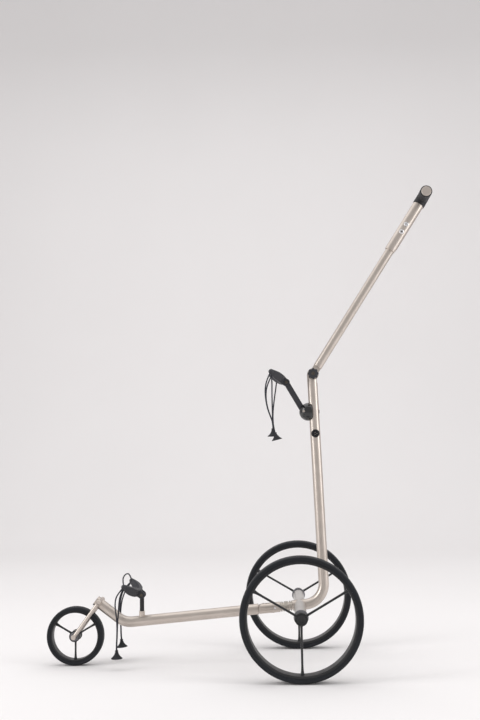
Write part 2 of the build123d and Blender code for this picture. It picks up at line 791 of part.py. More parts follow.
add("upright_clevis", upright_clevis())
add("pivot_bolt", pivot_bolt())
add("handle_tongue", handle_tongue())
lower_tube = along(handle_place, handle_shoulder + 4, lower_tube_end, handle_tube_od / 2)
lower_tube -= along(handle_place, handle_shoulder, lower_tube_end + 1, handle_bore)
upper_tube = along(handle_place, upper_tube_start, handle_length, upper_tube_od / 2)
upper_tube -= along(handle_place, upper_tube_start - 1, handle_length + 1, upper_bore)
upper_tube -= grip_bar_body
collar = handle_collar()
for hole in screw_rods:
    upper_tube -= hole
    collar -= hole
    lower_tube -= hole
add("handle_lower_tube", lower_tube)
add("handle_upper_tube", upper_tube)
add("handle_collar", collar)
add("clamp_screws", *clamp_screws())
add("grip_bar", grip_bar_body - rod(grip_axis_start, grip_axis_end, grip_bar_diameter / 2 - 2))
add("grip_sleeve", grip_sleeve())


def grip_cap(side):
    """A cap pressed into one end of the cross bar."""
    r = grip_bar_diameter / 2
    plug = r - 2 - seat_clearance
    outline = ((0, -8), (plug, -8), (plug, 0), (r, 0), (r, 0.6), (r - 0.8, 1.4), (0, 1.8))
    return turned(outline, grip_centre.X - axle_x, grip_centre.Z, side * grip_half, side)


add("grip_caps", grip_cap(left), grip_cap(right))


def star_knob():
    """The star knob that clamps the handle: a lobed head on a round boss."""
    radius = knob_diameter / 2
    lobe = 0.27 * radius
    back = -clevis_half - 1.5 - side_clearance
    head = Cylinder(radius - lobe, knob_thickness - 5, align=downwards)
    for i in range(knob_lobes):
        place = Rot(0, 0, 360 / knob_lobes * i) * Pos(radius - lobe, 0, 0)
        head += place * Cylinder(lobe, knob_thickness - 5, align=downwards)
    bound = Cylinder(radius, knob_thickness - 5, align=downwards)
    head = head & chamfer(bound.edges().group_by(Axis.Z)[-1], 1.4)
    boss = Cylinder(8.0, 5, align=downwards)
    bore = Cylinder(pivot_bolt_diameter / 2 + running_clearance, 24)
    knob = boss + Pos(0, 0, 5) * head - bore
    return Pos(pivot.X, back, pivot.Z) * Rot(90, 0, 0) * knob


add("star_knob", star_knob())

# ---------------------------------------------------------------- bag supports

arm_place = Pos(*at(arm_pivot_x, arm_pivot_height))
arm_rise = degrees(atan2(upper_fork_height - arm_pivot_height, upper_fork_x - arm_pivot_x))
arm_length = hypot(upper_fork_height - arm_pivot_height, upper_fork_x - arm_pivot_x)
arm_up_limit = 24.0
arm_down_limit = 35.0
arm_half = arm_thickness / 2
arm_line = tilted(arm_pivot_x, arm_pivot_height, arm_rise)


def support_housing():
    """The half-ball housing clamped to the front of the upright, slotted for the arm."""
    ball = Pos(*at(housing_x, housing_height)) * Sphere(housing_radius)
    behind = housing_back_x + 40
    back_plane = Pos(*at(behind, housing_height)) * Rot(0, -upright_lean, 0) * Box(80, 80, 80)
    reach = arm_width / 2 + 0.4
    high = radians(arm_rise - arm_up_limit)
    low = radians(arm_rise + arm_down_limit)
    first = (reach * sin(high), -reach * cos(high))
    second = (-reach * sin(low), reach * cos(low))
    out = 45.0
    outline = (
        first, (first[0] + out * cos(high), first[1] + out * sin(high)), (-34, 34),
        (second[0] + out * cos(low), second[1] + out * sin(low)), second,
    )
    fan = plate(outline, arm_half + side_clearance, arm_place)
    eye = side_pin(arm_place, 0, 0, -arm_half - side_clearance, arm_half + side_clearance, reach)
    bore = side_pin(arm_place, 0, 0, -30, 30, support_pin_diameter / 2 + seat_clearance)
    return ball - back_plane - upright_space - fan - eye - bore - housing_screw_hole


def housing_screw():
    """The screw from behind the upright that holds the housing on it."""
    shank = rod(housing_screw_tip, housing_screw_end, housing_thread_radius - seat_clearance)
    head = rod(housing_screw_end - Vector(2, 0, 0), housing_screw_end + Vector(0.6, 0, 0), 4.5)
    return head - upright_space + shank


def arm_pin():
    """The arm's pivot pin in the housing."""
    span = (housing_radius ** 2 - (housing_x - arm_pivot_x) ** 2 - 1.2) ** 0.5 - 1.0
    return side_pin(arm_place, 0, 0, -span, span, support_pin_diameter / 2)


def support_arm():
    """The arm from the housing to the upper fork."""
    half = arm_width / 2
    bar = arm_line * Pos(arm_length / 2, 0, 0) * Box(arm_length, arm_thickness, arm_width)
    bar = fillet(bar.edges().filter_by(lambda e: e.length > arm_length - 1), 2.5)
    foot = side_pin(arm_line, 0, 0, -arm_half, arm_half, half)
    head = side_pin(arm_line, arm_length, 0, -arm_half, arm_half, half)
    foot_hole = side_pin(arm_line, 0, 0, -20, 20, support_pin_diameter / 2 + running_clearance)
    head_hole = side_pin(arm_line, arm_length, 0, -20, 20, support_pin_diameter / 2 + seat_clearance)
    return bar + foot + head - foot_hole - head_hole


cheek = 5.0


def bag_fork(x, z, angle):
    """A bag fork: two curved horns from a clevis on its pin, each with a hole for the cords."""
    inner_half = arm_half + side_clearance
    outer_half = inner_half + cheek
    start = 13.0
    plan = make_face(
        Polyline((start + 3, 0), (start - 6, 0), (start - 6, outer_half), (start - 4, outer_half + 3))
        + ThreePointArc((start - 4, outer_half + 3), (16.5, 42), (fork_reach - 3, fork_half_spread + 3))
        + Polyline((fork_reach - 3, fork_half_spread + 3), (fork_reach + 3, fork_half_spread - 3))
        + ThreePointArc((fork_reach + 3, fork_half_spread - 3), (26.5, 32.5), (start + 3, 0))
    )
    plan = plan + mirror(plan, Plane.XZ)
    horns = extrude(plan, fork_root_width / 2, both=True)
    taper = degrees(atan2((fork_root_width - fork_tip_width) / 2, fork_reach - fork_taper_start))
    for sign in (1, -1):
        wedge = Pos(fork_taper_start, 0, sign * fork_root_width / 2) * Rot(0, sign * taper, 0)
        horns -= wedge * Pos(40, 0, sign * 20) * Box(140, 160, 40)
    cheeks = side_pin(Pos(0, 0, 0), 0, 0, -outer_half, outer_half, fork_root_width / 2 - 1.2)
    cheeks += Pos(6, 0, 0) * Box(12, 2 * outer_half, fork_root_width - 2.4)
    gap = side_pin(Pos(0, 0, 0), 0, 0, -inner_half, inner_half, arm_width / 2 + 2.2)
    gap += Pos(-8, 0, 0) * Box(30, 2 * inner_half, fork_root_width + 4) & Pos(-6, 0, 0) * Box(24, 60, 60)
    pin_hole = side_pin(Pos(0, 0, 0), 0, 0, -30, 30, support_pin_diameter / 2 + running_clearance)
    balls = [Pos(fork_reach, s * fork_half_spread, 0) * Sphere(fork_tip_diameter / 2) for s in (-1, 1)]
    body = cheeks + horns + balls[0] + balls[1] - gap - pin_hole
    return tilted(x, z, angle) * body


def fork_pin(x, z):
    """A fork's pivot pin, with low heads outside its cheeks."""
    outer = arm_half + side_clearance + cheek
    shank = across(x, z, -outer - side_clearance, outer + side_clearance, support_pin_diameter / 2)
    near = across(x, z, -outer - 1.2, -outer - side_clearance, support_pin_diameter / 2 + 0.8)
    far = across(x, z, outer + side_clearance, outer + 1.2, support_pin_diameter / 2 + 0.8)
    return shank + near + far


add("support_housing", support_housing())
add("chassis_screws", housing_screw(), clamp_screw(left), clamp_screw(right))
add("hinge_pins", fold_pin(), arm_pin())
add("support_arm", support_arm())
add("upper_fork_pin", fork_pin(upper_fork_x, upper_fork_height))
add("upper_bag_fork", bag_fork(upper_fork_x, upper_fork_height, upper_fork_angle))

socket_top = main_tube_z + tube_radius + post_socket_height
socket_bottom = main_tube_z - 4


def lower_post():
    """The post in the socket, flattened at the top for the lower fork."""
    stem = rod(at(lower_fork_x, socket_bottom), at(lower_fork_x, lower_fork_height), post_diameter / 2)
    for side in (left, right):
        stem -= Pos(*at(lower_fork_x, lower_fork_height, side * (arm_half + 20))) * Box(40, 40, 30)
    head = across(lower_fork_x, lower_fork_height, -arm_half, arm_half, post_diameter / 2 + 0.2)
    hole = across(lower_fork_x, lower_fork_height, -20, 20, support_pin_diameter / 2 + seat_clearance)
    return stem + head - hole


post_socket = pipe(
    at(lower_fork_x, socket_bottom), at(lower_fork_x, socket_top), post_socket_od / 2,
    post_diameter / 2 + seat_clearance,
)
add("post_socket", post_socket)
add("lower_post", lower_post())
add("lower_fork_pin", fork_pin(lower_fork_x, lower_fork_height))
add("lower_bag_fork", bag_fork(lower_fork_x, lower_fork_height, lower_fork_angle))

# ---------------------------------------------------------------- accessory socket

socket_ring = chamfer(socket_body.edges().group_by(Axis.Y)[0], 1.0)
add("accessory_socket", socket_ring - socket_bore)

# ---------------------------------------------------------------- cords and toggles


def cord(points):
    """A cord's tube along a route, each bend as wide as its two runs allow."""
    route = [at(x, z, y) for x, z, y in points]
    bends = []
    for a, b, c in zip(route, route[1:], route[2:]):
        turn = radians((b - a).get_angle(c - b))
        bends.append(0.45 * min((b - a).length, (c - b).length) / tan(turn / 2))
    tube = swept(route, bends, cord_diameter / 2)
    line = FilletPolyline(*route, radius=bends)
    filled = tube.volume / (pi * cord_diameter ** 2 / 4 * line.length)
    print(f"cord {line.length:.0f} mm, tightest bend {min(bends):.0f} mm, volume ratio {filled:.3f}")
    return tube


def toggle(neck, lean_x):
    """A rubber toggle hanging from a neck point: a flared cone with a lip."""
    h = toggle_height
    skirt = toggle_base_diameter / 2
    outline = (
        (0, 0), (toggle_neck_diameter / 2, 0), (toggle_neck_diameter / 2 + 0.4, -3), (5.6, -8), (8.6, -13.5),
        (skirt, -h + 1.6), (skirt, -h), (skirt - 1.5, -h),
        (0, -h + 3.5),
    )
    body = revolve(Plane.XZ * make_face(Polyline(*outline, close=True)), Axis.Z)
    return Pos(*at(*neck)) * Rot(0, -lean_x, 0) * body


near = -fork_half_spread
far = fork_half_spread
beside = cord_diameter / 2 + cord_gap
upper_near, upper_far = (-57.2, 573.0, near), (-53.4, 566.4, far)
lower_near, lower_far = (-442.6, 47.0, near), (-451.8, 51.0, far)


def strand(points, neck, lean_x, offset):
    """A strand's route: through its points, then straight down into a toggle's neck."""
    x, z, y = neck
    run_x, run_z = -12 * sin(radians(lean_x)), 12 * cos(radians(lean_x))
    return (*points, (x + run_x, z + run_z, y + offset), (x, z, y + offset))


upper_routes = {
    "left_front": strand(
        ((-62.2, 708.1, near - beside), (-70.6, 692.0, near - beside), (-75.2, 668.0, near - beside),
         (-73.4, 640.0, near - beside), (-68.2, 616.0, near - beside), (-60.6, 597.0, near - beside)),
        upper_near, 1.0, -beside,
    ),
    "left_back": strand(
        ((-58.9, 707.4, near + beside), (-57.4, 688.0, near + beside), (-58.2, 660.0, near + beside),
         (-58.0, 630.0, near + beside), (-57.8, 602.0, near + beside)),
        upper_near, 1.0, beside,
    ),
    "right_front": strand(
        ((-62.2, 708.1, far + beside), (-71.2, 690.5, far + beside), (-75.2, 668.0, far + beside),
         (-74.0, 642.0, far + beside), (-67.6, 617.0, far + beside), (-59.8, 598.0, far + beside)),
        upper_far, 14.0, beside,
    ),
    "right_back": strand(
        ((-46.4, 697.0, far - 15), (-49.4, 677.0, far - 12), (-53.6, 651.0, far - 8),
         (-57.0, 624.0, far - 4.6), (-58.2, 600.0, far - 2.4)),
        upper_far, 14.0, -beside,
    ),
}
lower_routes = {
    "left_front": strand(
        ((-428.9, 191.0, near - beside), (-442.6, 176.0, near - beside), (-446.6, 157.0, near - beside),
         (-444.4, 136.0, near - beside), (-441.4, 112.0, near - beside), (-441.4, 80.0, near - beside)),
        lower_near, 1.0, -beside,
    ),
    "left_back": strand(
        ((-427.6, 190.2, near + beside), (-435.0, 174.0, near + beside), (-437.6, 154.0, near + beside),
         (-438.8, 132.0, near + beside), (-440.8, 110.0, near + beside), (-441.6, 80.0, near + beside)),
        lower_near, 1.0, beside,
    ),
    "right_front": strand(
        ((-428.9, 191.0, far + beside), (-446.6, 175.0, far + beside), (-454.6, 150.0, far + beside),
         (-456.6, 122.0, far + beside), (-454.6, 96.0, far + beside), (-453.2, 80.0, far + beside)),
        lower_far, 5.0, beside,
    ),
    "right_back": strand(
        ((-427.6, 190.2, far - beside), (-440.6, 173.0, far - beside), (-449.8, 150.0, far - beside),
         (-453.8, 122.0, far - beside), (-453.6, 96.0, far - beside), (-453.2, 80.0, far - beside)),
        lower_far, 5.0, -beside,
    ),
}
bridge_route = (
    (-425.4, 196.8, near), (-428.8, 210.0, near + 6.5), (-430.4, 216.5, near + 25.5), (-430.8, 218.8, 0.0),
    (-430.4, 216.5, far - 25.5), (-428.8, 210.0, far - 6.5), (-425.4, 196.8, far),
)


def entry_hole(first, second):
    """The hole that a cord's end fills."""
    (x0, z0, y0), (x1, z1, y1) = first, second
    return rod(at(x0, z0, y0), at(x1, z1, y1), cord_diameter / 2 + seat_clearance)


for place, route in upper_routes.items():
    parts["upper_bag_fork"] -= entry_hole(route[0], route[1])
    add(f"upper_cord_{place}", cord(route))
for place, route in lower_routes.items():
    parts["lower_bag_fork"] -= entry_hole(route[0], route[1])
    add(f"lower_cord_{place}", cord(route))
for route in (bridge_route, bridge_route[::-1]):
    parts["lower_bag_fork"] -= entry_hole(route[0], route[1])
add("bridge_cord", cord(bridge_route))
add("upper_toggles", toggle(upper_near, 1.0), toggle(upper_far, 14.0))
add("lower_toggles", toggle(lower_near, 1.0), toggle(lower_far, 5.0))

# ---------------------------------------------------------------- files

os.makedirs("parts", exist_ok=True)
for name, shape in parts.items():
    export_step(shape, f"parts/{name}.step")
print(len(parts), "nodes; rear axle at x =", round(axle_x, 2))
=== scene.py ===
from math import cos, exp, pi, radians, sin, tan

import bmesh
import bpy
from mathutils import Matrix, Vector


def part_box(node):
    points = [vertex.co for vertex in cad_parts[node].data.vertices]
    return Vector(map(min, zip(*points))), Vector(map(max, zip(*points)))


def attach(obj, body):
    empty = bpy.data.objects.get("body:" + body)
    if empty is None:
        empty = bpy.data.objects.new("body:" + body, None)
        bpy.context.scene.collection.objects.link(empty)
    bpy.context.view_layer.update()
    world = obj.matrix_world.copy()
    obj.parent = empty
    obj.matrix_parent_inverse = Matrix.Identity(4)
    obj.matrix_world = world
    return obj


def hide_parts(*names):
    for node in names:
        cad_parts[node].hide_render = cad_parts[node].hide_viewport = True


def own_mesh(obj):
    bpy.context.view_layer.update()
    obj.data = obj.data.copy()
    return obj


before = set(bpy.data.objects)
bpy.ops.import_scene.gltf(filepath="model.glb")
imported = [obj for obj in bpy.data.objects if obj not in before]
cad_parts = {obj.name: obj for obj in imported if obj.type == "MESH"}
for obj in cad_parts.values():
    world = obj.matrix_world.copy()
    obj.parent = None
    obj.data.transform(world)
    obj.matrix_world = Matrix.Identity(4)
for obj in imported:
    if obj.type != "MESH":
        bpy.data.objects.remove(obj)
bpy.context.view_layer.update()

# ---------------------------------------------------------------- the view
# The trolley stands side on, its left side to the lens, which is level with the bag supports and looks
# a little upwards and to the left. Every place below is measured from the rear axle, on the floor.
low_corner, high_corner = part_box("axle_tube")
axle = Vector(((low_corner.x + high_corner.x) / 2, 0, 0))
lens_yaw, lens_pitch, lens_roll = radians(-2.56), radians(6.23), radians(-0.84)
lens_place = (-34.8, 498.4, -2284.2)
lens_focal = 45.32


def at(x, z, y=0.0):
    """A place in metres, from millimetres back from the rear axle, up from the floor and to the right."""
    return axle + Vector((x, y, z)) / 1000


def turned_view():
    """The lens's own axes, from its yaw, pitch and roll."""
    ahead = Vector((sin(lens_yaw) * cos(lens_pitch), cos(lens_yaw) * cos(lens_pitch), sin(lens_pitch)))
    across = Vector((cos(lens_yaw), -sin(lens_yaw), 0))
    above = across.cross(ahead)
    right = across * cos(lens_roll) + above * sin(lens_roll)
    up = above * cos(lens_roll) - across * sin(lens_roll)
    return Matrix((right, up, -ahead)).transposed().to_4x4()


lens = bpy.data.cameras.new("lens")
lens.lens = lens_focal
lens.shift_x = -0.0007
lens.shift_y = 0.0007
lens.clip_end = 30
camera = bpy.data.objects.new("camera", lens)
camera.matrix_world = Matrix.Translation(at(*lens_place)) @ turned_view()
bpy.context.scene.collection.objects.link(camera)
bpy.context.scene.camera = camera

# ---------------------------------------------------------------- rubber toggles
# Four trumpet-shaped toggles moulded in soft black rubber. Each has a collar at its neck, where two
# cord strands go in, and a thin flared skirt to pull on.
toggle_height = 20.0
toggle_skirt = 13.75
toggle_neck = 4.0
rubber_dark, rubber_light = "#17181B", "#25262B"


def add_node(tree, kind, values=None, links=None, **settings):
    """Adds a node with its settings, its socket values and its links."""
    node = tree.nodes.new(kind)
    for key, value in settings.items():
        setattr(node, key, value)
    for key, value in (values or {}).items():
        node.inputs[key].default_value = value
    for key, socket in (links or {}).items():
        tree.links.new(socket, node.inputs[key])
    return node


def linear(colour):
    """An sRGB hex colour as linear red, green, blue and alpha."""
    values = [int(colour[i:i + 2], 16) / 255 for i in (1, 3, 5)]
    return (*[c / 12.92 if c < 0.04045 else ((c + 0.055) / 1.055) ** 2.4 for c in values], 1.0)


def new_finish(name):
    """An empty material, with its tree, its shader and the piece's own coordinates."""
    finish = bpy.data.materials.new(name)
    finish.use_nodes = True
    tree = finish.node_tree
    shader = tree.nodes["Principled BSDF"]
    place = tree.nodes.new("ShaderNodeTexCoord").outputs["Object"]
    return finish, tree, shader, place


def moulded_rubber():
    """Synthetic rubber from a bead-blasted mould: near-black, dull, with a fine pebbled skin."""
    finish, tree, shader, place = new_finish("moulded_rubber")
    # 1.1 mm pebbles: the real 0.1 mm texture is too fine to show
    pebbles = add_node(tree, "ShaderNodeTexNoise", {"Scale": 900.0, "Detail": 3.0}, {"Vector": place})
    clouds = add_node(tree, "ShaderNodeTexNoise", {"Scale": 60.0, "Detail": 2.0}, {"Vector": place})
    colour = add_node(
        tree, "ShaderNodeMix", {"A": linear(rubber_dark), "B": linear(rubber_light)},
        {"Factor": clouds.outputs["Fac"]}, data_type="RGBA",
    )
    rough = add_node(
        tree, "ShaderNodeMapRange", {"To Min": 0.5, "To Max": 0.68}, {"Value": pebbles.outputs["Fac"]},
    )
    bump = add_node(
        tree, "ShaderNodeBump", {"Strength": 0.25, "Distance": 0.0002}, {"Height": pebbles.outputs["Fac"]},
    )
    tree.links.new(colour.outputs["Result"], shader.inputs["Base Color"])
    tree.links.new(rough.outputs["Result"], shader.inputs["Roughness"])
    tree.links.new(bump.outputs["Normal"], shader.inputs["Normal"])
    shader.inputs["Specular IOR Level"].default_value = 0.3
    return finish


def eased(outline, radius, steps=4):
    """An outline with each inner corner rounded over that distance."""
    points = [Vector(p) for p in outline]
    out = [points[0]]
    for before, corner, after in zip(points, points[1:], points[2:]):
        reach = min(radius, (corner - before).length / 2, (after - corner).length / 2)
        start = corner + (before - corner).normalized() * reach
        end = corner + (after - corner).normalized() * reach
        for i in range(steps + 1):
            t = i / steps
            out.append(start * (1 - t) ** 2 + corner * 2 * t * (1 - t) + end * t ** 2)
    out.append(points[-1])
    return out


def facing(point, direction):
    """A place whose own z axis points that way."""
    return Matrix.Translation(point) @ Vector(direction).to_track_quat("Z", "Y").to_matrix().to_4x4()


def as_mesh(shape, name):
    """A bmesh as a mesh with outward faces, smooth but for its sharp edges."""
    bmesh.ops.recalc_face_normals(shape, faces=shape.faces)
    mesh = bpy.data.meshes.new(name)
    shape.to_mesh(mesh)
    shape.free()
    mesh.shade_smooth()
    mesh.set_sharp_from_angle(angle=radians(38))
    return mesh


def spun(name, outline, place, steps=72, closed=False):
    """A mesh spun about a place's z axis from (radius, height) points in millimetres."""
    shape = bmesh.new()
    rings = []
    for radius, height in outline:
        count = 1 if radius < 0.001 else steps
        angles = [2 * pi * i / steps for i in range(count)]
        points = [Vector((radius * cos(a), radius * sin(a), height)) / 1000 for a in angles]
        rings.append([shape.verts.new(place @ p) for p in points])
    pairs = list(zip(rings, rings[1:] + rings[:1] if closed else rings[1:]))
    for low, high in pairs:
        for i in range(steps):
            j = i + 1
            corners = [low[i % len(low)], low[j % len(low)], high[j % len(high)], high[i % len(high)]]
            corners = list(dict.fromkeys(corners))
            if len(corners) > 2:
                shape.faces.new(corners)
    return as_mesh(shape, name)


def piece(name, mesh, finish, body, slot, *nodes):
    """A finished piece: its mesh and finish, the body it moves with and the solids it stands for."""
    thing = bpy.data.objects.new(name, mesh)
    bpy.context.scene.collection.objects.link(thing)
    mesh.materials.clear()
    mesh.materials.append(finish)
    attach(thing, body)
    if nodes:
        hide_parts(*nodes)
    return thing


def toggle(name, neck, lean, body, node):
    """A toggle below its neck point, leaning forward by that many degrees at the top."""
    h = toggle_height
    outline = [
        (0, 0), (2.6, 0), (toggle_neck, -0.8), (toggle_neck, -2.6), (toggle_neck - 0.5, -3.4),
        (toggle_neck + 0.2, -6), (5.6, -10), (8.8, -14.2), (12.0, -17.4), (toggle_skirt, -h + 1.2),
        (toggle_skirt, -h + 0.2), (toggle_skirt - 1.0, -h), (8.5, -h + 3.2), (4.0, -h + 6.5), (0, -h + 7.5),
    ]
    upwards = (-sin(radians(lean)), 0, cos(radians(lean)))
    mesh = spun(name, eased(outline, 1.4), facing(at(*neck), upwards), steps=48)
    return piece(name, mesh, toggle_rubber, body, "toggle_rubber", node)


toggle_rubber = moulded_rubber()
left, right = -59.0, 59.0
upper_left, upper_right = (-57.2, 573.0, left), (-53.4, 566.4, right)
lower_left, lower_right = (-442.6, 47.0, left), (-451.8, 51.0, right)
toggles = {
    "upper_left": toggle("toggle_upper_left", upper_left, 1.0, "upper_fork", "upper_toggles"),
    "upper_right": toggle("toggle_upper_right", upper_right, 14.0, "upper_fork", "upper_toggles"),
    "lower_left": toggle("toggle_lower_left", lower_left, 1.0, "lower_fork", "lower_toggles"),
    "lower_right": toggle("toggle_lower_right", lower_right, 5.0, "lower_fork", "lower_toggles"),
}

# ---------------------------------------------------------------- elastic cords
# Shock cord, a rubber core in a tight braided sleeve, 3.4 mm thick. Two strands run from each horn's
# hole to its toggle, and one more bridges the lower fork's tips.
cord_thickness = 3.4
beside = 1.95
braid_dark, braid_light = "#0E0F15", "#262834"


def braided_sleeve():
    """Braided polyester over rubber: crossing threads, a faint sheen and no gloss."""
    finish, tree, shader, place = new_finish("braided_sleeve")
    # threads about 1 mm apart, drawn at twice the real 0.5 mm so that they show
    one_way = add_node(
        tree, "ShaderNodeTexWave", {"Scale": 330.0, "Distortion": 0.6}, {"Vector": place},
        bands_direction="DIAGONAL",
    )
    turned_place = add_node(tree, "ShaderNodeMapping", {"Scale": (-1.0, 1.0, 1.0)}, {"Vector": place})
    other_way = add_node(
        tree, "ShaderNodeTexWave", {"Scale": 330.0, "Distortion": 0.6},
        {"Vector": turned_place.outputs["Vector"]}, bands_direction="DIAGONAL",
    )
    threads = add_node(
        tree, "ShaderNodeMath", None, {0: one_way.outputs["Fac"], 1: other_way.outputs["Fac"]},
        operation="MAXIMUM",
    )
    colour = add_node(
        tree, "ShaderNodeMix", {"A": linear(braid_dark), "B": linear(braid_light)},
        {"Factor": threads.outputs["Value"]}, data_type="RGBA",
    )
    bump = add_node(
        tree, "ShaderNodeBump", {"Strength": 0.5, "Distance": 0.0003}, {"Height": threads.outputs["Value"]},
    )
    tree.links.new(colour.outputs["Result"], shader.inputs["Base Color"])
    tree.links.new(bump.outputs["Normal"], shader.inputs["Normal"])
    shader.inputs["Roughness"].default_value = 0.72
    shader.inputs["Sheen Weight"].default_value = 0.08
    return finish


def cord(name, points, body):
    """A cord along its route, standing in for its solid and moving with its body."""
    curve = bpy.data.curves.new(name, "CURVE")
    curve.dimensions = "3D"
    spline = curve.splines.new("NURBS")
    spline.points.add(len(points) - 1)
    for point, (x, z, y) in zip(spline.points, points):
        point.co = (*at(x, z, y), 1)
    spline.order_u = 3
    spline.use_endpoint_u = True
    spline.resolution_u = 10
    curve.bevel_depth = cord_thickness / 2000
    curve.bevel_resolution = 5
    curve.use_fill_caps = True
    curve.materials.append(cord_braid)
    strand = bpy.data.objects.new(name, curve)
    bpy.context.scene.collection.objects.link(strand)
    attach(strand, body)
    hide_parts(name.replace("shock_", ""))
    return strand


def into_neck(points, neck, lean, offset):
    """A strand's route: through its points, then straight down into a toggle's neck."""
    x, z, y = neck
    run_x, run_z = -12 * sin(radians(lean)), 12 * cos(radians(lean))
    return (*points, (x + run_x, z + run_z, y + offset), (x, z, y + offset))


cord_braid = braided_sleeve()
strands = {
    "upper_cord_left_front": (140, "upper_left", into_neck(
        ((-62.2, 708.1, left - beside), (-70.6, 692.0, left - beside), (-75.2, 668.0, left - beside),
         (-73.4, 640.0, left - beside), (-68.2, 616.0, left - beside), (-60.6, 597.0, left - beside)),
        upper_left, 1.0, -beside)),
    "upper_cord_left_back": (134, "upper_left", into_neck(
        ((-58.9, 707.4, left + beside), (-57.4, 688.0, left + beside), (-58.2, 660.0, left + beside),
         (-58.0, 630.0, left + beside), (-57.8, 602.0, left + beside)),
        upper_left, 1.0, beside)),
    "upper_cord_right_front": (147, "upper_right", into_neck(
        ((-62.2, 708.1, right + beside), (-71.2, 690.5, right + beside), (-75.2, 668.0, right + beside),
         (-74.0, 642.0, right + beside), (-67.6, 617.0, right + beside), (-59.8, 598.0, right + beside)),
        upper_right, 14.0, beside)),
    "upper_cord_right_back": (133, "upper_right", into_neck(
        ((-46.4, 697.0, right - 15), (-49.4, 677.0, right - 12), (-53.6, 651.0, right - 8),
         (-57.0, 624.0, right - 4.6), (-58.2, 600.0, right - 2.4)),
        upper_right, 14.0, -beside)),
    "lower_cord_left_front": (149, "lower_left", into_neck(
        ((-428.9, 191.0, left - beside), (-442.6, 176.0, left - beside), (-446.6, 157.0, left - beside),
         (-444.4, 136.0, left - beside), (-441.4, 112.0, left - beside), (-441.4, 80.0, left - beside)),
        lower_left, 1.0, -beside)),
    "lower_cord_left_back": (145, "lower_left", into_neck(
        ((-427.6, 190.2, left + beside), (-435.0, 174.0, left + beside), (-437.6, 154.0, left + beside),
         (-438.8, 132.0, left + beside), (-440.8, 110.0, left + beside), (-441.6, 80.0, left + beside)),
        lower_left, 1.0, beside)),
    "lower_cord_right_front": (149, "lower_right", into_neck(
        ((-428.9, 191.0, right + beside), (-446.6, 175.0, right + beside), (-454.6, 150.0, right + beside),
         (-456.6, 122.0, right + beside), (-454.6, 96.0, right + beside), (-453.2, 80.0, right + beside)),
        lower_right, 5.0, beside)),
    "lower_cord_right_back": (145, "lower_right", into_neck(
        ((-427.6, 190.2, right - beside), (-440.6, 173.0, right - beside), (-449.8, 150.0, right - beside),
         (-453.8, 122.0, right - beside), (-453.6, 96.0, right - beside), (-453.2, 80.0, right - beside)),
        lower_right, 5.0, -beside)),
}
for strand_name, (strand_length, toggle_name, strand_route) in strands.items():
    cord(
        "shock_" + strand_name, strand_route, strand_name.split("_")[0] + "_fork",
    )
bridge_route = (
    (-425.4, 196.8, left), (-428.8, 210.0, left + 6.5), (-430.4, 216.5, left + 25.5), (-430.8, 218.8, 0.0),
    (-430.4, 216.5, right - 25.5), (-428.8, 210.0, right - 6.5), (-425.4, 196.8, right),
)
cord("shock_bridge_cord", bridge_route, "lower_fork")

# ---------------------------------------------------------------- bag forks and their arm
# Two V-shaped forks and the upper fork's arm, moulded in dark grey glass-filled nylon. Each fork is one
# moulding with all its edges rounded, and it turns on a steel pin through its root.
nylon_dark, nylon_light = "#222227", "#323238"
moulding_voxel = 0.9


def moulded_nylon():
    """Glass-filled nylon from a spark-eroded mould: dark grey, matt, faintly mottled and pebbled."""
    finish, tree, shader, place = new_finish("moulded_nylon")
    # 0.8 mm grain, coarser than the real 0.2 mm so that it shows
    grain = add_node(tree, "ShaderNodeTexVoronoi", {"Scale": 1200.0}, {"Vector": place})
    mottle = add_node(tree, "ShaderNodeTexNoise", {"Scale": 120.0, "Detail": 4.0}, {"Vector": place})
    colour = add_node(
        tree, "ShaderNodeMix", {"A": linear(nylon_dark), "B": linear(nylon_light)},
        {"Factor": mottle.outputs["Fac"]}, data_type="RGBA",
    )
    rough = add_node(
        tree, "ShaderNodeMapRange", {"To Min": 0.46, "To Max": 0.62}, {"Value": mottle.outputs["Fac"]},
    )
    bump = add_node(
        tree, "ShaderNodeBump", {"Strength": 0.2, "Distance": 0.00015},
        {"Height": grain.outputs["Distance"]},
    )
    tree.links.new(colour.outputs["Result"], shader.inputs["Base Color"])
    tree.links.new(rough.outputs["Result"], shader.inputs["Roughness"])
    tree.links.new(bump.outputs["Normal"], shader.inputs["Normal"])
    return finish


def softened(name, node, voxel, rounds):
    """The mesh of a solid with its edges rounded as a mould leaves them, by remeshing and smoothing."""
    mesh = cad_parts[node].data.copy()
    shape = bmesh.new()
    shape.from_mesh(mesh)
    bmesh.ops.remove_doubles(shape, verts=shape.verts, dist=1e-6)
    shape.to_mesh(mesh)
    shape.free()
    work = bpy.data.objects.new("work", mesh)
    bpy.context.scene.collection.objects.link(work)
    remesh = work.modifiers.new("remesh", "REMESH")
    remesh.mode = "VOXEL"
    remesh.voxel_size = voxel / 1000
    smooth = work.modifiers.new("smooth", "SMOOTH")
    smooth.factor = 0.5
    smooth.iterations = rounds
    result = bpy.data.meshes.new_from_object(work.evaluated_get(bpy.context.evaluated_depsgraph_get()))
    bpy.data.objects.remove(work)
    result.name = name
    result.shade_smooth()
    return result


def dress(finish, *nodes):
    """Gives solids that keep their own mesh their finish."""
    for node in nodes:
        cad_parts[node].data.materials.clear()
        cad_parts[node].data.materials.append(finish)


grey_nylon = moulded_nylon()
for level in ("upper", "lower"):
    solid = f"{level}_bag_fork"
    horn_mesh = softened(f"{level}_horns", solid, moulding_voxel, 5)
    piece(f"{level}_horns", horn_mesh, grey_nylon, f"{level}_fork", "soft_grey_moulding", solid)
arm_mesh = softened("arm_moulding", "support_arm", 0.7, 3)
piece("arm_moulding", arm_mesh, grey_nylon, "upper_arm", "soft_grey_moulding", "support_arm")
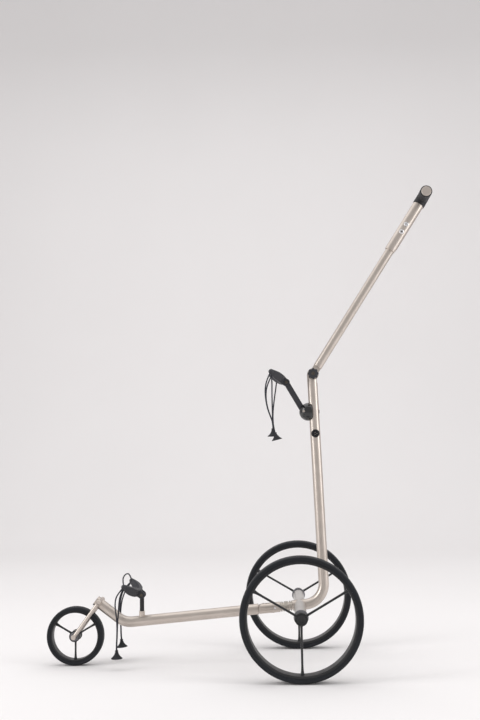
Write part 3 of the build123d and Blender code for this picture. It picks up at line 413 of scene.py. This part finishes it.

# ---------------------------------------------------------------- pins, bolts and screws
# Turned and polished stainless: the stub axles, the handle's pivot bolt and the lock plunger. The small
# screws beside them and the forks' pins are blackened.


def polished_stainless():
    """Polished stainless steel: bright, with faint turning marks and a few softer patches."""
    finish, tree, shader, place = new_finish("polished_stainless")
    marks = add_node(
        tree, "ShaderNodeTexWave", {"Scale": 420.0, "Distortion": 3.0, "Detail": 2.0}, {"Vector": place},
        wave_type="RINGS", rings_direction="Y",
    )
    patches = add_node(tree, "ShaderNodeTexNoise", {"Scale": 150.0, "Detail": 3.0}, {"Vector": place})
    rough = add_node(
        tree, "ShaderNodeMapRange", {"To Min": 0.12, "To Max": 0.28}, {"Value": patches.outputs["Fac"]},
    )
    bump = add_node(
        tree, "ShaderNodeBump", {"Strength": 0.06, "Distance": 0.0001}, {"Height": marks.outputs["Fac"]},
    )
    tree.links.new(rough.outputs["Result"], shader.inputs["Roughness"])
    tree.links.new(bump.outputs["Normal"], shader.inputs["Normal"])
    shader.inputs["Base Color"].default_value = linear("#DDDDDF")
    shader.inputs["Metallic"].default_value = 1.0
    return finish


def blackened_steel():
    """Black-oxide steel: nearly black, oily and half-shiny, worn greyer in patches."""
    finish, tree, shader, place = new_finish("blackened_steel")
    wear = add_node(tree, "ShaderNodeTexNoise", {"Scale": 400.0, "Detail": 5.0}, {"Vector": place})
    colour = add_node(
        tree, "ShaderNodeMix", {"A": linear("#3B3733"), "B": linear("#6A635C")},
        {"Factor": wear.outputs["Fac"]}, data_type="RGBA",
    )
    rough = add_node(
        tree, "ShaderNodeMapRange", {"To Min": 0.28, "To Max": 0.45}, {"Value": wear.outputs["Fac"]},
    )
    tree.links.new(colour.outputs["Result"], shader.inputs["Base Color"])
    tree.links.new(rough.outputs["Result"], shader.inputs["Roughness"])
    shader.inputs["Metallic"].default_value = 0.85
    return finish


stainless = polished_stainless()
black_oxide = blackened_steel()
dress(stainless, "stub_axles", "pivot_bolt", "lock_plunger")
dress(black_oxide, "chassis_screws", "lower_fork_pin", "upper_fork_pin")

# ---------------------------------------------------------------- titanium frame
# The bent tubes, the knuckle, the clevis, the fork and the handle's tubes, in thin-walled titanium. The
# tubes are bead-blasted and then lightly brushed, so they carry soft wide highlights and a warm grey.
titanium_light, titanium_dark = "#D2C9C1", "#BBB1A8"


def satin_titanium(name, light, dark):
    """Bead-blasted and brushed titanium: warm grey metal with a soft sheen and very fine scratches."""
    finish, tree, shader, place = new_finish(name)
    # blasting pits 0.9 mm apart: the real 0.1 mm pits are too fine to show
    pits = add_node(tree, "ShaderNodeTexNoise", {"Scale": 1100.0, "Detail": 4.0}, {"Vector": place})
    tone = add_node(tree, "ShaderNodeTexNoise", {"Scale": 28.0, "Detail": 3.0}, {"Vector": place})
    colour = add_node(
        tree, "ShaderNodeMix", {"A": linear(dark), "B": linear(light)},
        {"Factor": tone.outputs["Fac"]}, data_type="RGBA",
    )
    rough = add_node(
        tree, "ShaderNodeMapRange", {"To Min": 0.3, "To Max": 0.42}, {"Value": pits.outputs["Fac"]},
    )
    bump = add_node(
        tree, "ShaderNodeBump", {"Strength": 0.07, "Distance": 0.0001}, {"Height": pits.outputs["Fac"]},
    )
    tree.links.new(colour.outputs["Result"], shader.inputs["Base Color"])
    tree.links.new(rough.outputs["Result"], shader.inputs["Roughness"])
    tree.links.new(bump.outputs["Normal"], shader.inputs["Normal"])
    shader.inputs["Metallic"].default_value = 1.0
    return finish


titanium = satin_titanium("satin_titanium", titanium_light, titanium_dark)
dress(titanium, "rear_bend", "upright_tube", "front_tube", "knuckle_base", "fold_tongue", "post_socket",
      "crown_bar", "fork_arms", "upright_clevis", "handle_tongue", "handle_lower_tube",
      "handle_upper_tube", "handle_collar", "lock_collar", "hinge_pins", "front_fasteners")

# ---------------------------------------------------------------- axle tube
# The cross tube is a thicker tube of the same metal, blasted paler and flatter than the frame, with a
# flanged bush pressed into each end.
pale_titanium = satin_titanium("pale_titanium", "#D6D3D0", "#C4C0BC")
dress(pale_titanium, "axle_tube", "axle_bushes", "grip_bar")

# ---------------------------------------------------------------- tyres
# Solid tyres in foamed rubber, stretched over all three rims. The tread is a plain crown with a fine
# mould line round its middle, and each side has a shallow step above the rim.
tyre_dark, tyre_light = "#0F1115", "#1E2127"


def tyre_rubber():
    """Foamed tyre rubber: blue-black and dull, with a faint bloom and a slightly grainy skin."""
    finish, tree, shader, place = new_finish("tyre_rubber")
    grain = add_node(tree, "ShaderNodeTexNoise", {"Scale": 700.0, "Detail": 4.0}, {"Vector": place})
    bloom = add_node(tree, "ShaderNodeTexNoise", {"Scale": 30.0, "Detail": 4.0}, {"Vector": place})
    colour = add_node(
        tree, "ShaderNodeMix", {"A": linear(tyre_dark), "B": linear(tyre_light)},
        {"Factor": bloom.outputs["Fac"]}, data_type="RGBA",
    )
    rough = add_node(
        tree, "ShaderNodeMapRange", {"To Min": 0.48, "To Max": 0.66}, {"Value": grain.outputs["Fac"]},
    )
    bump = add_node(
        tree, "ShaderNodeBump", {"Strength": 0.25, "Distance": 0.0002}, {"Height": grain.outputs["Fac"]},
    )
    tree.links.new(colour.outputs["Result"], shader.inputs["Base Color"])
    tree.links.new(rough.outputs["Result"], shader.inputs["Roughness"])
    tree.links.new(bump.outputs["Normal"], shader.inputs["Normal"])
    shader.inputs["Specular IOR Level"].default_value = 0.3
    return finish


def tyre(name, radius, depth, width, centre, body, node):
    """A tyre of that outer radius, depth and width in millimetres."""
    seat, half = radius - depth, width / 2
    drop = depth * 0.36
    tread = []
    for i in range(25):
        u = -1 + i / 12
        line = 0.25 if i == 12 else 0.0
        tread.append((radius - drop * abs(u) ** 2.5 - line, half * sin(u * pi / 2)))
    step = seat + depth * 0.34
    flank = [(seat, half - 2.2), (seat + 1.0, half - 1.0), (step, half - 0.9), (step + 0.8, half - 0.15)]
    outline = [(r, -t) for r, t in flank] + tread + flank[::-1]
    mesh = spun(name, outline, facing(centre, (0, 1, 0)), steps=144, closed=True)
    return piece(name, mesh, wheel_rubber, body, "tyre", node)


wheel_rubber = tyre_rubber()
rear_radius, front_radius = 140.0, 70.9
half_track = 191.0
wheelbase = 555.4
sides = {"left": -1, "right": 1}
for side_name, side in sides.items():
    tyre(f"rubber_tyre_{side_name}", rear_radius, 12.0, 38.0, at(0, rear_radius, side * half_track),
         f"{side_name}_wheel_unit", f"tyre_{side_name}")
tyre("rubber_tyre_front", front_radius, 10.5, 26.0, at(-wheelbase, front_radius),
     "front_wheel_unit", "front_tyre")

# ---------------------------------------------------------------- wheel centres
# Each wheel centre is one injection moulding in black nylon: a deep rim, a hub barrel and three slim
# blades that widen where they meet the rim. The blades are one blade set out three times round the axle.


def spoke_ring_nodes():
    """A node tree that sets the piece's own mesh out evenly round its z axis."""
    tree = bpy.data.node_groups.new("set out round the axle", "GeometryNodeTree")
    for name, kind in (("Geometry", "NodeSocketGeometry"), ("Count", "NodeSocketInt"),
                       ("Finish", "NodeSocketMaterial")):
        tree.interface.new_socket(name, in_out="INPUT", socket_type=kind)
    tree.interface.new_socket("Geometry", in_out="OUTPUT", socket_type="NodeSocketGeometry")
    given = add_node(tree, "NodeGroupInput")
    places = add_node(
        tree, "GeometryNodeMeshLine", {"Offset": (0.0, 0.0, 0.0)}, {"Count": given.outputs["Count"]},
    )
    index = add_node(tree, "GeometryNodeInputIndex")
    share = add_node(
        tree, "ShaderNodeMath", None, {0: index.outputs["Index"], 1: given.outputs["Count"]},
        operation="DIVIDE",
    )
    angle = add_node(
        tree, "ShaderNodeMath", {1: 2 * pi}, {0: share.outputs["Value"]}, operation="MULTIPLY",
    )
    turn = add_node(tree, "ShaderNodeCombineXYZ", None, {"Z": angle.outputs["Value"]})
    placed = add_node(
        tree, "GeometryNodeInstanceOnPoints", None,
        {"Points": places.outputs["Mesh"], "Instance": given.outputs["Geometry"],
         "Rotation": turn.outputs["Vector"]},
    )
    real = add_node(tree, "GeometryNodeRealizeInstances", None, {"Geometry": placed.outputs["Instances"]})
    finished = add_node(
        tree, "GeometryNodeSetMaterial", None,
        {"Geometry": real.outputs["Geometry"], "Material": given.outputs["Finish"]},
    )
    add_node(tree, "NodeGroupOutput", None, {"Geometry": finished.outputs["Geometry"]})
    return tree


def set_out(mesh, count, finish, place):
    """A mesh made round its own z axis, repeated evenly about it and put in place."""
    work = bpy.data.objects.new("work", mesh)
    bpy.context.scene.collection.objects.link(work)
    repeat = work.modifiers.new("set out", "NODES")
    repeat.node_group = round_the_axle
    inputs = {s.name: s.identifier for s in round_the_axle.interface.items_tree if s.in_out == "INPUT"}
    repeat[inputs["Count"]] = count
    repeat[inputs["Finish"]] = finish
    result = bpy.data.meshes.new_from_object(work.evaluated_get(bpy.context.evaluated_depsgraph_get()))
    work.modifiers.remove(repeat)
    bpy.data.objects.remove(work)
    result.transform(place)
    return result


def joined(name, *meshes):
    """Several closed meshes as one mesh."""
    shape = bmesh.new()
    for mesh in meshes:
        shape.from_mesh(mesh)
    return as_mesh(shape, name)


def skinned(name, levels):
    """A closed mesh over rings of points, with a flat cap at each end."""
    shape = bmesh.new()
    rings = [[shape.verts.new(point) for point in level] for level in levels]
    for low, high in zip(rings, rings[1:]):
        for here in range(len(low)):
            beyond = (here + 1) % len(low)
            shape.faces.new((low[here], low[beyond], high[beyond], high[here]))
    shape.faces.new(rings[0][::-1])
    shape.faces.new(rings[-1])
    return as_mesh(shape, name)


def blade(inner, outer, width, depth):
    """A wheel blade along its own x axis, wider at the hub and at the rim."""
    root_swell, root_length, rim_swell, rim_length = 0.6, 5.0, 1.15, 5.5
    stations, corners = 26, 20
    levels = []
    for i in range(stations + 1):
        r = inner + (outer - inner) * i / stations
        swell = 1 + rim_swell * exp(-(outer - r) / rim_length) + root_swell * exp(-(r - inner) / root_length)
        a, b = width / 2 * swell, depth / 2 * (1 + 0.55 * (swell - 1))
        turns = [2 * pi * k / corners for k in range(corners)]
        levels.append([Vector((r, a * cos(t), b * sin(t))) / 1000 for t in turns])
    return skinned("blade", levels)


def moulded_wheel():
    """Glass-filled nylon from a smooth mould: near-black, with a low satin shine."""
    finish, tree, shader, place = new_finish("moulded_wheel")
    flow = add_node(tree, "ShaderNodeTexNoise", {"Scale": 90.0, "Detail": 5.0}, {"Vector": place})
    grain = add_node(tree, "ShaderNodeTexNoise", {"Scale": 1300.0, "Detail": 2.0}, {"Vector": place})
    colour = add_node(
        tree, "ShaderNodeMix", {"A": linear("#0C0D10"), "B": linear("#17181C")},
        {"Factor": flow.outputs["Fac"]}, data_type="RGBA",
    )
    rough = add_node(
        tree, "ShaderNodeMapRange", {"To Min": 0.34, "To Max": 0.5}, {"Value": flow.outputs["Fac"]},
    )
    bump = add_node(
        tree, "ShaderNodeBump", {"Strength": 0.12, "Distance": 0.0001}, {"Height": grain.outputs["Fac"]},
    )
    tree.links.new(colour.outputs["Result"], shader.inputs["Base Color"])
    tree.links.new(rough.outputs["Result"], shader.inputs["Roughness"])
    tree.links.new(bump.outputs["Normal"], shader.inputs["Normal"])
    return finish


def wheel(name, seat, rim_depth, rim_width, spoke_width, hub, centre, direction, body, node):
    """A wheel centre round a hub, given as its closed (radius, outwards) section."""
    inner, half = seat - rim_depth, rim_width / 2
    rim_section = [
        (seat - 0.02, -half + 0.4), (seat - 0.02, half - 0.4), (seat - 0.5, half), (inner + 1.4, half),
        (inner + 0.5, half - 0.8), (inner + 0.2, half - 4), (inner, 0), (inner + 0.2, -half + 4),
        (inner + 0.5, -half + 0.8), (inner + 1.4, -half), (seat - 0.5, -half),
    ]
    place = facing(centre, direction)
    rim = spun("rim", rim_section, place, steps=144, closed=True)
    core = spun("core", hub, place, steps=72, closed=True)
    hub_radius = max(r for r, _ in hub) - 5
    one = blade(hub_radius, inner + 1.0, spoke_width, spoke_width * 1.7)
    downwards = place.to_quaternion().inverted() @ Vector((0, 0, -1))
    first = Vector((1, 0, 0)).rotation_difference(downwards).to_matrix().to_4x4()
    spokes = set_out(one, 3, wheel_moulding, place @ first)
    return piece(name, joined(name, rim, core, spokes), wheel_moulding, body, "wheel_centre", node)


def dull_grey_nylon():
    """Unfilled grey nylon of the hub's inner flange: mid grey and dull, a little uneven."""
    finish, tree, shader, place = new_finish("dull_grey_nylon")
    cloud = add_node(tree, "ShaderNodeTexNoise", {"Scale": 140.0, "Detail": 3.0}, {"Vector": place})
    colour = add_node(
        tree, "ShaderNodeMix", {"A": linear("#636367"), "B": linear("#78787C")},
        {"Factor": cloud.outputs["Fac"]}, data_type="RGBA",
    )
    tree.links.new(colour.outputs["Result"], shader.inputs["Base Color"])
    shader.inputs["Roughness"].default_value = 0.5
    return finish


round_the_axle = spoke_ring_nodes()
grey_flange = dull_grey_nylon()
wheel_moulding = moulded_wheel()
bearing_seat, cup_floor, cup_radius = 9.55, 4.0, 12.9
rear_hub = [
    (bearing_seat, -19.0), (13.0, -19.0), (13.0, -14.6), (13.5, -9.4), (13.5, 0.0), (14.5, cup_floor),
    (14.5, 12.2), (13.9, 13.0), (13.3, 13.0), (cup_radius, 12.5), (cup_radius, cup_floor),
    (bearing_seat, cup_floor), (bearing_seat, -3.0), (7.5, -3.0), (7.5, -13.0), (bearing_seat, -13.0),
]
flange = [
    (12.9, -19.0), (16.3, -19.0), (17.0, -18.3), (17.0, -15.7), (16.4, -14.7), (13.9, -10.6), (12.9, -10.6),
]
for side_name, side in sides.items():
    hub_centre = at(0, rear_radius, side * half_track)
    unit = f"{side_name}_wheel_unit"
    wheel(f"wheel_moulding_{side_name}", 128.0, 6.0, 34.0, 5.2, rear_hub, hub_centre, (0, side, 0), unit,
          f"wheel_{side_name}")
    flange_mesh = spun(f"hub_flange_{side_name}", flange, facing(hub_centre, (0, side, 0)), closed=True)
    piece(f"hub_flange_{side_name}", flange_mesh, grey_flange, unit, "wheel_centre")
front_hub = [
    (11.05, -15.0), (12.6, -15.0), (13.25, -14.4), (13.25, -11.0), (11.9, -9.2), (11.75, -8.0), (11.75, 8.0),
    (11.9, 9.2), (13.25, 11.0), (13.25, 14.4), (12.6, 15.0), (11.05, 15.0), (11.05, 8.0), (8.0, 8.0),
    (8.0, -8.0), (11.05, -8.0),
]
wheel("wheel_moulding_front", 60.4, 4.5, 23.0, 4.4, front_hub, at(-wheelbase, front_radius), (0, -1, 0),
      "front_wheel_unit", "front_wheel")

# ---------------------------------------------------------------- bearings
# Two sealed ball bearings are pressed into each hub. Their ground steel rings and the dark seals between
# them show only at the hub's inner end.


def bearing_finish():
    """Ground bearing steel with rubber seals: fine rings, mid grey and half-shiny."""
    finish, tree, shader, place = new_finish("bearing_steel")
    film = add_node(tree, "ShaderNodeTexNoise", {"Scale": 500.0, "Detail": 3.0}, {"Vector": place})
    colour = add_node(
        tree, "ShaderNodeMix", {"A": linear("#4C4C50"), "B": linear("#8A8A8E")},
        {"Factor": film.outputs["Fac"]}, data_type="RGBA",
    )
    tree.links.new(colour.outputs["Result"], shader.inputs["Base Color"])
    shader.inputs["Metallic"].default_value = 0.8
    shader.inputs["Roughness"].default_value = 0.33
    return finish


dress(bearing_finish(), "bearings_left", "bearings_right", "front_bearings")

# ---------------------------------------------------------------- release buttons
# A round button fills each rear hub's cup. It has a raised rim and a dished face, and pressing it lets
# the wheel slide off its axle. A small coil spring behind it pushes it out.
button_radius = 12.7
button_coil_radius, button_wire, button_coil_height = 7.1, 1.0, 5.3


def smooth_black_abs():
    """Moulded ABS from a polished mould: black, half-gloss, with the faintest orange peel."""
    finish, tree, shader, place = new_finish("smooth_black_abs")
    peel = add_node(tree, "ShaderNodeTexNoise", {"Scale": 450.0, "Detail": 2.0}, {"Vector": place})
    rough = add_node(
        tree, "ShaderNodeMapRange", {"To Min": 0.24, "To Max": 0.34}, {"Value": peel.outputs["Fac"]},
    )
    bump = add_node(
        tree, "ShaderNodeBump", {"Strength": 0.08, "Distance": 0.0001}, {"Height": peel.outputs["Fac"]},
    )
    tree.links.new(rough.outputs["Result"], shader.inputs["Roughness"])
    tree.links.new(bump.outputs["Normal"], shader.inputs["Normal"])
    shader.inputs["Base Color"].default_value = linear("#101114")
    return finish


def drawn_spring_wire():
    """Drawn spring steel: cool grey and bright, streaked along the wire."""
    finish, tree, shader, place = new_finish("drawn_spring_wire")
    streaks = add_node(tree, "ShaderNodeTexNoise", {"Scale": 800.0, "Detail": 4.0}, {"Vector": place})
    rough = add_node(
        tree, "ShaderNodeMapRange", {"To Min": 0.22, "To Max": 0.4}, {"Value": streaks.outputs["Fac"]},
    )
    tree.links.new(rough.outputs["Result"], shader.inputs["Roughness"])
    shader.inputs["Base Color"].default_value = linear("#B5AEA6")
    shader.inputs["Metallic"].default_value = 1.0
    return finish


def coil(name, place, radius, wire, length, turns):
    """A compression spring up its place's z axis, with its end turns closed up, in millimetres."""
    curve = bpy.data.curves.new(name, "CURVE")
    curve.dimensions = "3D"
    spline = curve.splines.new("POLY")
    steps = int(turns * 28)
    spline.points.add(steps)
    travel = length - wire
    for i, point in enumerate(spline.points):
        t = i / steps
        rise = t - 0.08 * sin(4 * pi * t) / 2
        angle = 2 * pi * turns * t
        spot = Vector((radius * cos(angle), radius * sin(angle), wire / 2 + travel * rise)) / 1000
        point.co = (*(place @ spot), 1)
    curve.bevel_depth = wire / 2000
    curve.bevel_resolution = 3
    curve.use_fill_caps = True
    work = bpy.data.objects.new("work", curve)
    bpy.context.scene.collection.objects.link(work)
    mesh = bpy.data.meshes.new_from_object(work.evaluated_get(bpy.context.evaluated_depsgraph_get()))
    bpy.data.objects.remove(work)
    mesh.name = name
    mesh.shade_smooth()
    return mesh


black_abs = smooth_black_abs()
spring_wire = drawn_spring_wire()
button_outline = [
    (0, 9.4), (8.6, 9.4), (8.6, 7.1), (button_radius, 7.1), (button_radius, 12.2),
    (button_radius - 0.7, 13.3), (button_radius - 2.0, 13.5), (button_radius - 3.4, 13.3),
    (button_radius - 4.6, 12.5), (5.5, 11.8), (0, 11.4),
]
for side_name, side in sides.items():
    hub_place = facing(at(0, rear_radius, side * half_track), (0, side, 0))
    cap = spun(f"button_cap_{side_name}", eased(button_outline, 0.6), hub_place, steps=64)
    piece(f"button_cap_{side_name}", cap, black_abs, f"{side_name}_button", "black_moulding",
          f"release_button_{side_name}")
    spring_foot = at(0, rear_radius, side * (half_track + cup_floor))
    spring = coil(f"button_coil_{side_name}", facing(spring_foot, (0, side, 0)),
                  button_coil_radius, button_wire, button_coil_height, 3)
    button_coil = piece(f"button_coil_{side_name}", spring, spring_wire, f"{side_name}_wheel_unit",
                        "spring_steel", f"button_spring_{side_name}")
    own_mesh(button_coil)

# ---------------------------------------------------------------- fold lock spring
# A stout coil spring behind the lock collar, seated against the axle tube. The real one shortens as the
# collar rides back when the front frame folds; this one is built at a single length.
knuckle_x = -88.0
front_slope = radians(5.22)
tube_height = 141.3
tube_way = Vector((cos(front_slope), 0, sin(front_slope)))
knuckle_place = at(knuckle_x, tube_height + tan(front_slope) * knuckle_x)
spring_start, spring_stop = 39.7, 70.77
spring_radius, spring_wire_thickness, spring_turns = 11.1, 2.6, 6.5
lock_coil_mesh = coil(
    "lock_coil", facing(knuckle_place + tube_way * spring_start / 1000, tube_way),
    spring_radius, spring_wire_thickness, spring_stop - spring_start, spring_turns,
)
lock_coil = piece("lock_coil", lock_coil_mesh, spring_wire, "chassis", "spring_steel", "lock_spring")
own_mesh(lock_coil)

# ---------------------------------------------------------------- small black mouldings
# The socket ring in the upright and the post of the lower fork are plain black mouldings. The socket's
# floor is grey, with three plated contacts set out round it.
socket_x, socket_z = 48.8, 560.3
dress(black_abs, "accessory_socket", "lower_post")
socket_floor_place = facing(at(socket_x, socket_z, -8.05), (0, -1, 0))
floor_outline = eased([(0, 0), (6.9, 0), (6.9, 0.5), (0, 0.5)], 0.15)
grey_floor = spun("socket_floor", floor_outline, socket_floor_place, 48)
piece("socket_floor", grey_floor, grey_nylon, "chassis", "black_moulding")


def plated_contact():
    """Nickel-plated brass contacts: pale, bright and slightly tarnished."""
    finish, tree, shader, place = new_finish("plated_contact")
    tarnish = add_node(tree, "ShaderNodeTexNoise", {"Scale": 900.0, "Detail": 3.0}, {"Vector": place})
    rough = add_node(
        tree, "ShaderNodeMapRange", {"To Min": 0.2, "To Max": 0.4}, {"Value": tarnish.outputs["Fac"]},
    )
    tree.links.new(rough.outputs["Result"], shader.inputs["Roughness"])
    shader.inputs["Base Color"].default_value = linear("#D9D2C4")
    shader.inputs["Metallic"].default_value = 1.0
    return finish


contact_plate = plated_contact()
stud_place = Matrix.Translation(Vector((3.2, 0, 0.4)) / 1000)
stud = spun("stud", eased([(0, 0), (0.9, 0), (0.9, 0.7), (0, 1.1)], 0.25), stud_place, 20)
studs = set_out(stud, 3, contact_plate, socket_floor_place)
piece("socket_contacts", studs, contact_plate, "chassis", "black_moulding")

# ---------------------------------------------------------------- support housing
# A half-ball housing holds the upper arm on its hinge pin. It is moulded in glossy black ABS, in a mirror-
# polished mould, and screwed to the front of the upright.


def glossy_abs():
    """Piano-black ABS from a mirror-polished mould: a deep black with sharp reflections."""
    finish, tree, shader, place = new_finish("glossy_abs")
    haze = add_node(tree, "ShaderNodeTexNoise", {"Scale": 200.0, "Detail": 3.0}, {"Vector": place})
    rough = add_node(
        tree, "ShaderNodeMapRange", {"To Min": 0.08, "To Max": 0.16}, {"Value": haze.outputs["Fac"]},
    )
    tree.links.new(rough.outputs["Result"], shader.inputs["Roughness"])
    shader.inputs["Base Color"].default_value = linear("#08090B")
    shader.inputs["Coat Weight"].default_value = 0.6
    shader.inputs["Coat Roughness"].default_value = 0.05
    return finish


dress(glossy_abs(), "support_housing")

# ---------------------------------------------------------------- star knob
# The clamp knob at the handle's pivot: matt black nylon, eight rounded lobes, a shallow cup in its face
# and the end of its steel insert showing in the middle.
pivot_x, pivot_z = 45.3, 709.2
knob_back = -14.5
knob_radius = 14.0
lobe_depth, lobes_start, cup_edge = 0.085, 4.9, 0.7


def star(name, place, lobes):
    """A lobed knob up its place's z axis, in millimetres, from (height, share of its radius) steps."""
    profile = [
        (0.0, 0.62), (0.3, 0.66), (4.6, 0.66), (5.0, 0.8), (5.3, 0.93), (6.2, 0.985), (8.0, 1.0),
        (11.5, 1.0), (13.4, 0.975), (14.5, 0.92), (15.0, 0.84), (15.0, 0.66), (14.2, 0.56), (14.0, 0.36),
    ]
    steps = lobes * 16
    levels = []
    for height, scale in profile:
        lobed = lobe_depth if height > lobes_start and scale > cup_edge else 0.0
        level = []
        for i in range(steps):
            a = 2 * pi * i / steps
            r = knob_radius * scale * (1 - lobed + lobed * cos(lobes * a))
            level.append(place @ (Vector((r * cos(a), r * sin(a), height)) / 1000))
        levels.append(level)
    return skinned(name, levels)


knob_place = facing(at(pivot_x, pivot_z, knob_back), (0, -1, 0))
piece("lobed_knob", star("lobed_knob", knob_place, 8), grey_nylon, "knob", "soft_grey_moulding", "star_knob")
insert_outline = eased([(0, 13.9), (4.6, 13.9), (4.6, 14.5), (2.2, 14.5), (2.0, 14.1), (0, 14.1)], 0.15)
insert = spun("knob_insert", insert_outline, knob_place, 40)
piece("knob_insert", insert, black_oxide, "knob", "dark_fitting")

# ---------------------------------------------------------------- handle clamp screws
# Two button-head screws in the near side of the upper tube, polished, with hexagon sockets. The lower one's
# socket is deep, and a black disc near its floor is painted shade; the upper one's is shallow.
handle_angle = radians(57.0)
handle_way = Vector((cos(handle_angle), 0, sin(handle_angle)))
head_radius, head_height = 6.0, 2.4
half_across_flats = 2.0
tube_side = -14.0


def button_head(name, place, socket_depth):
    """A domed head with a hexagon socket, up its place's z axis."""
    dome = [(head_radius, -1.0), (head_radius, 0.7), (5.7, 1.3), (5.0, 1.9), (4.0, 2.25), (2.7, head_height)]
    turns = [2 * pi * i / 48 for i in range(48)]
    outlines = [([radius] * 48, height) for radius, height in dome]
    hexagon = [half_across_flats / cos((a % (pi / 3)) - pi / 6) for a in turns]
    outlines += [(hexagon, head_height), (hexagon, head_height - socket_depth)]
    levels = [
        [place @ (Vector((r * cos(a), r * sin(a), height)) / 1000) for r, a in zip(radii, turns)]
        for radii, height in outlines
    ]
    return skinned(name, levels)


for screw_name, along_tube, depth in (("lower", 427.4, 1.9), ("upper", 450.1, 0.7)):
    spot = at(pivot_x, pivot_z, tube_side) + handle_way * along_tube / 1000
    head = button_head(f"{screw_name}_clamp_screw", facing(spot, (0, -1, 0)), depth)
    piece(f"{screw_name}_clamp_screw", head, stainless, "handle", "polished_steel", "clamp_screws")
    if screw_name == "lower":
        # a black disc near the floor of the lower socket: painted shade in the deep hole
        bottom = facing(spot + Vector((0, -0.0006, 0)), (0, -1, 0))
        shade = spun("painted_socket_shade", [(0, 0), (1.95, 0), (1.95, 0.2), (0, 0.2)], bottom, 24)
        piece("painted_socket_shade", shade, black_oxide, "handle", "dark_fitting")

# ---------------------------------------------------------------- grip
# A T-shaped grip sleeve in soft black rubber, moulded in one piece over the cross bar and the tube's end,
# with a pale satin disc pressed into each end of the bar.


def grip_rubber():
    """Soft-touch thermoplastic rubber: black, very dull, with a close stipple for the hand."""
    finish, tree, shader, place = new_finish("grip_rubber")
    stipple = add_node(tree, "ShaderNodeTexVoronoi", {"Scale": 800.0}, {"Vector": place})
    wear = add_node(tree, "ShaderNodeTexNoise", {"Scale": 45.0, "Detail": 3.0}, {"Vector": place})
    colour = add_node(
        tree, "ShaderNodeMix", {"A": linear("#121214"), "B": linear("#222226")},
        {"Factor": wear.outputs["Fac"]}, data_type="RGBA",
    )
    bump = add_node(
        tree, "ShaderNodeBump", {"Strength": 0.35, "Distance": 0.0002},
        {"Height": stipple.outputs["Distance"]},
    )
    tree.links.new(colour.outputs["Result"], shader.inputs["Base Color"])
    tree.links.new(bump.outputs["Normal"], shader.inputs["Normal"])
    shader.inputs["Roughness"].default_value = 0.6
    return finish


sleeve = softened("rubber_grip", "grip_sleeve", 0.7, 3)
piece("rubber_grip", sleeve, grip_rubber(), "handle", "grip_rubber", "grip_sleeve")
dress(titanium, "grip_caps")

# ---------------------------------------------------------------- room and light
# The trolley stands on a pale seamless sweep, between two tall soft boxes and under a wide one. An even
# pale surround fills the shadows, and the plain tone curve keeps the blacks deep and the paper white.


def sweep_paper():
    """Matt studio paper: almost white, with the slightest unevenness."""
    finish, tree, shader, place = new_finish("sweep_paper")
    drift = add_node(tree, "ShaderNodeTexNoise", {"Scale": 1.2, "Detail": 2.0}, {"Vector": place})
    colour = add_node(
        tree, "ShaderNodeMix", {"A": linear("#EDEBEB"), "B": linear("#F1EFEF")},
        {"Factor": drift.outputs["Fac"]}, data_type="RGBA",
    )
    tree.links.new(colour.outputs["Result"], shader.inputs["Base Color"])
    shader.inputs["Roughness"].default_value = 0.9
    return finish


def sweep_sheet():
    """The floor, curving up into a wall well behind the trolley."""
    shape = bmesh.new()
    back, bend, top, reach = 4.2, 1.6, 6.0, 9.0
    line = [(-6.0, 0.0), (back - bend, 0.0)]
    for i in range(1, 17):
        a = pi / 2 * i / 16
        line.append((back - bend + bend * sin(a), bend - bend * cos(a)))
    line.append((back, top))
    rows = [[shape.verts.new((x, y, z)) for x in (-reach, reach)] for y, z in line]
    for low, high in zip(rows, rows[1:]):
        shape.faces.new((low[0], low[1], high[1], high[0]))
    mesh = bpy.data.meshes.new("sweep")
    shape.to_mesh(mesh)
    shape.free()
    mesh.shade_smooth()
    mesh.materials.append(sweep_paper())
    sheet = bpy.data.objects.new("sweep", mesh)
    bpy.context.scene.collection.objects.link(sheet)


def soft_box(name, place, target, width, height, power):
    """A large area light aimed at a point."""
    light = bpy.data.lights.new(name, "AREA")
    light.shape = "RECTANGLE"
    light.size = width
    light.size_y = height
    light.energy = power
    box = bpy.data.objects.new(name, light)
    box.matrix_world = facing(Vector(place), Vector(place) - Vector(target))
    bpy.context.scene.collection.objects.link(box)


sweep_sheet()
soft_box("left_box", (-2.6, -1.0, 1.5), (0, 0, 0.6), 1.2, 2.6, 34)
soft_box("right_box", (2.6, -0.8, 1.5), (0, 0, 0.6), 1.2, 2.6, 28)
soft_box("top_box", (0, 0.8, 3.6), (0, 0.8, 0), 5.0, 4.0, 52)
world = bpy.data.worlds.new("studio")
world.use_nodes = True
world.node_tree.nodes["Background"].inputs["Color"].default_value = linear("#F4F2F2")
world.node_tree.nodes["Background"].inputs["Strength"].default_value = 0.68
bpy.context.scene.world = world
bpy.context.scene.view_settings.view_transform = "Standard"
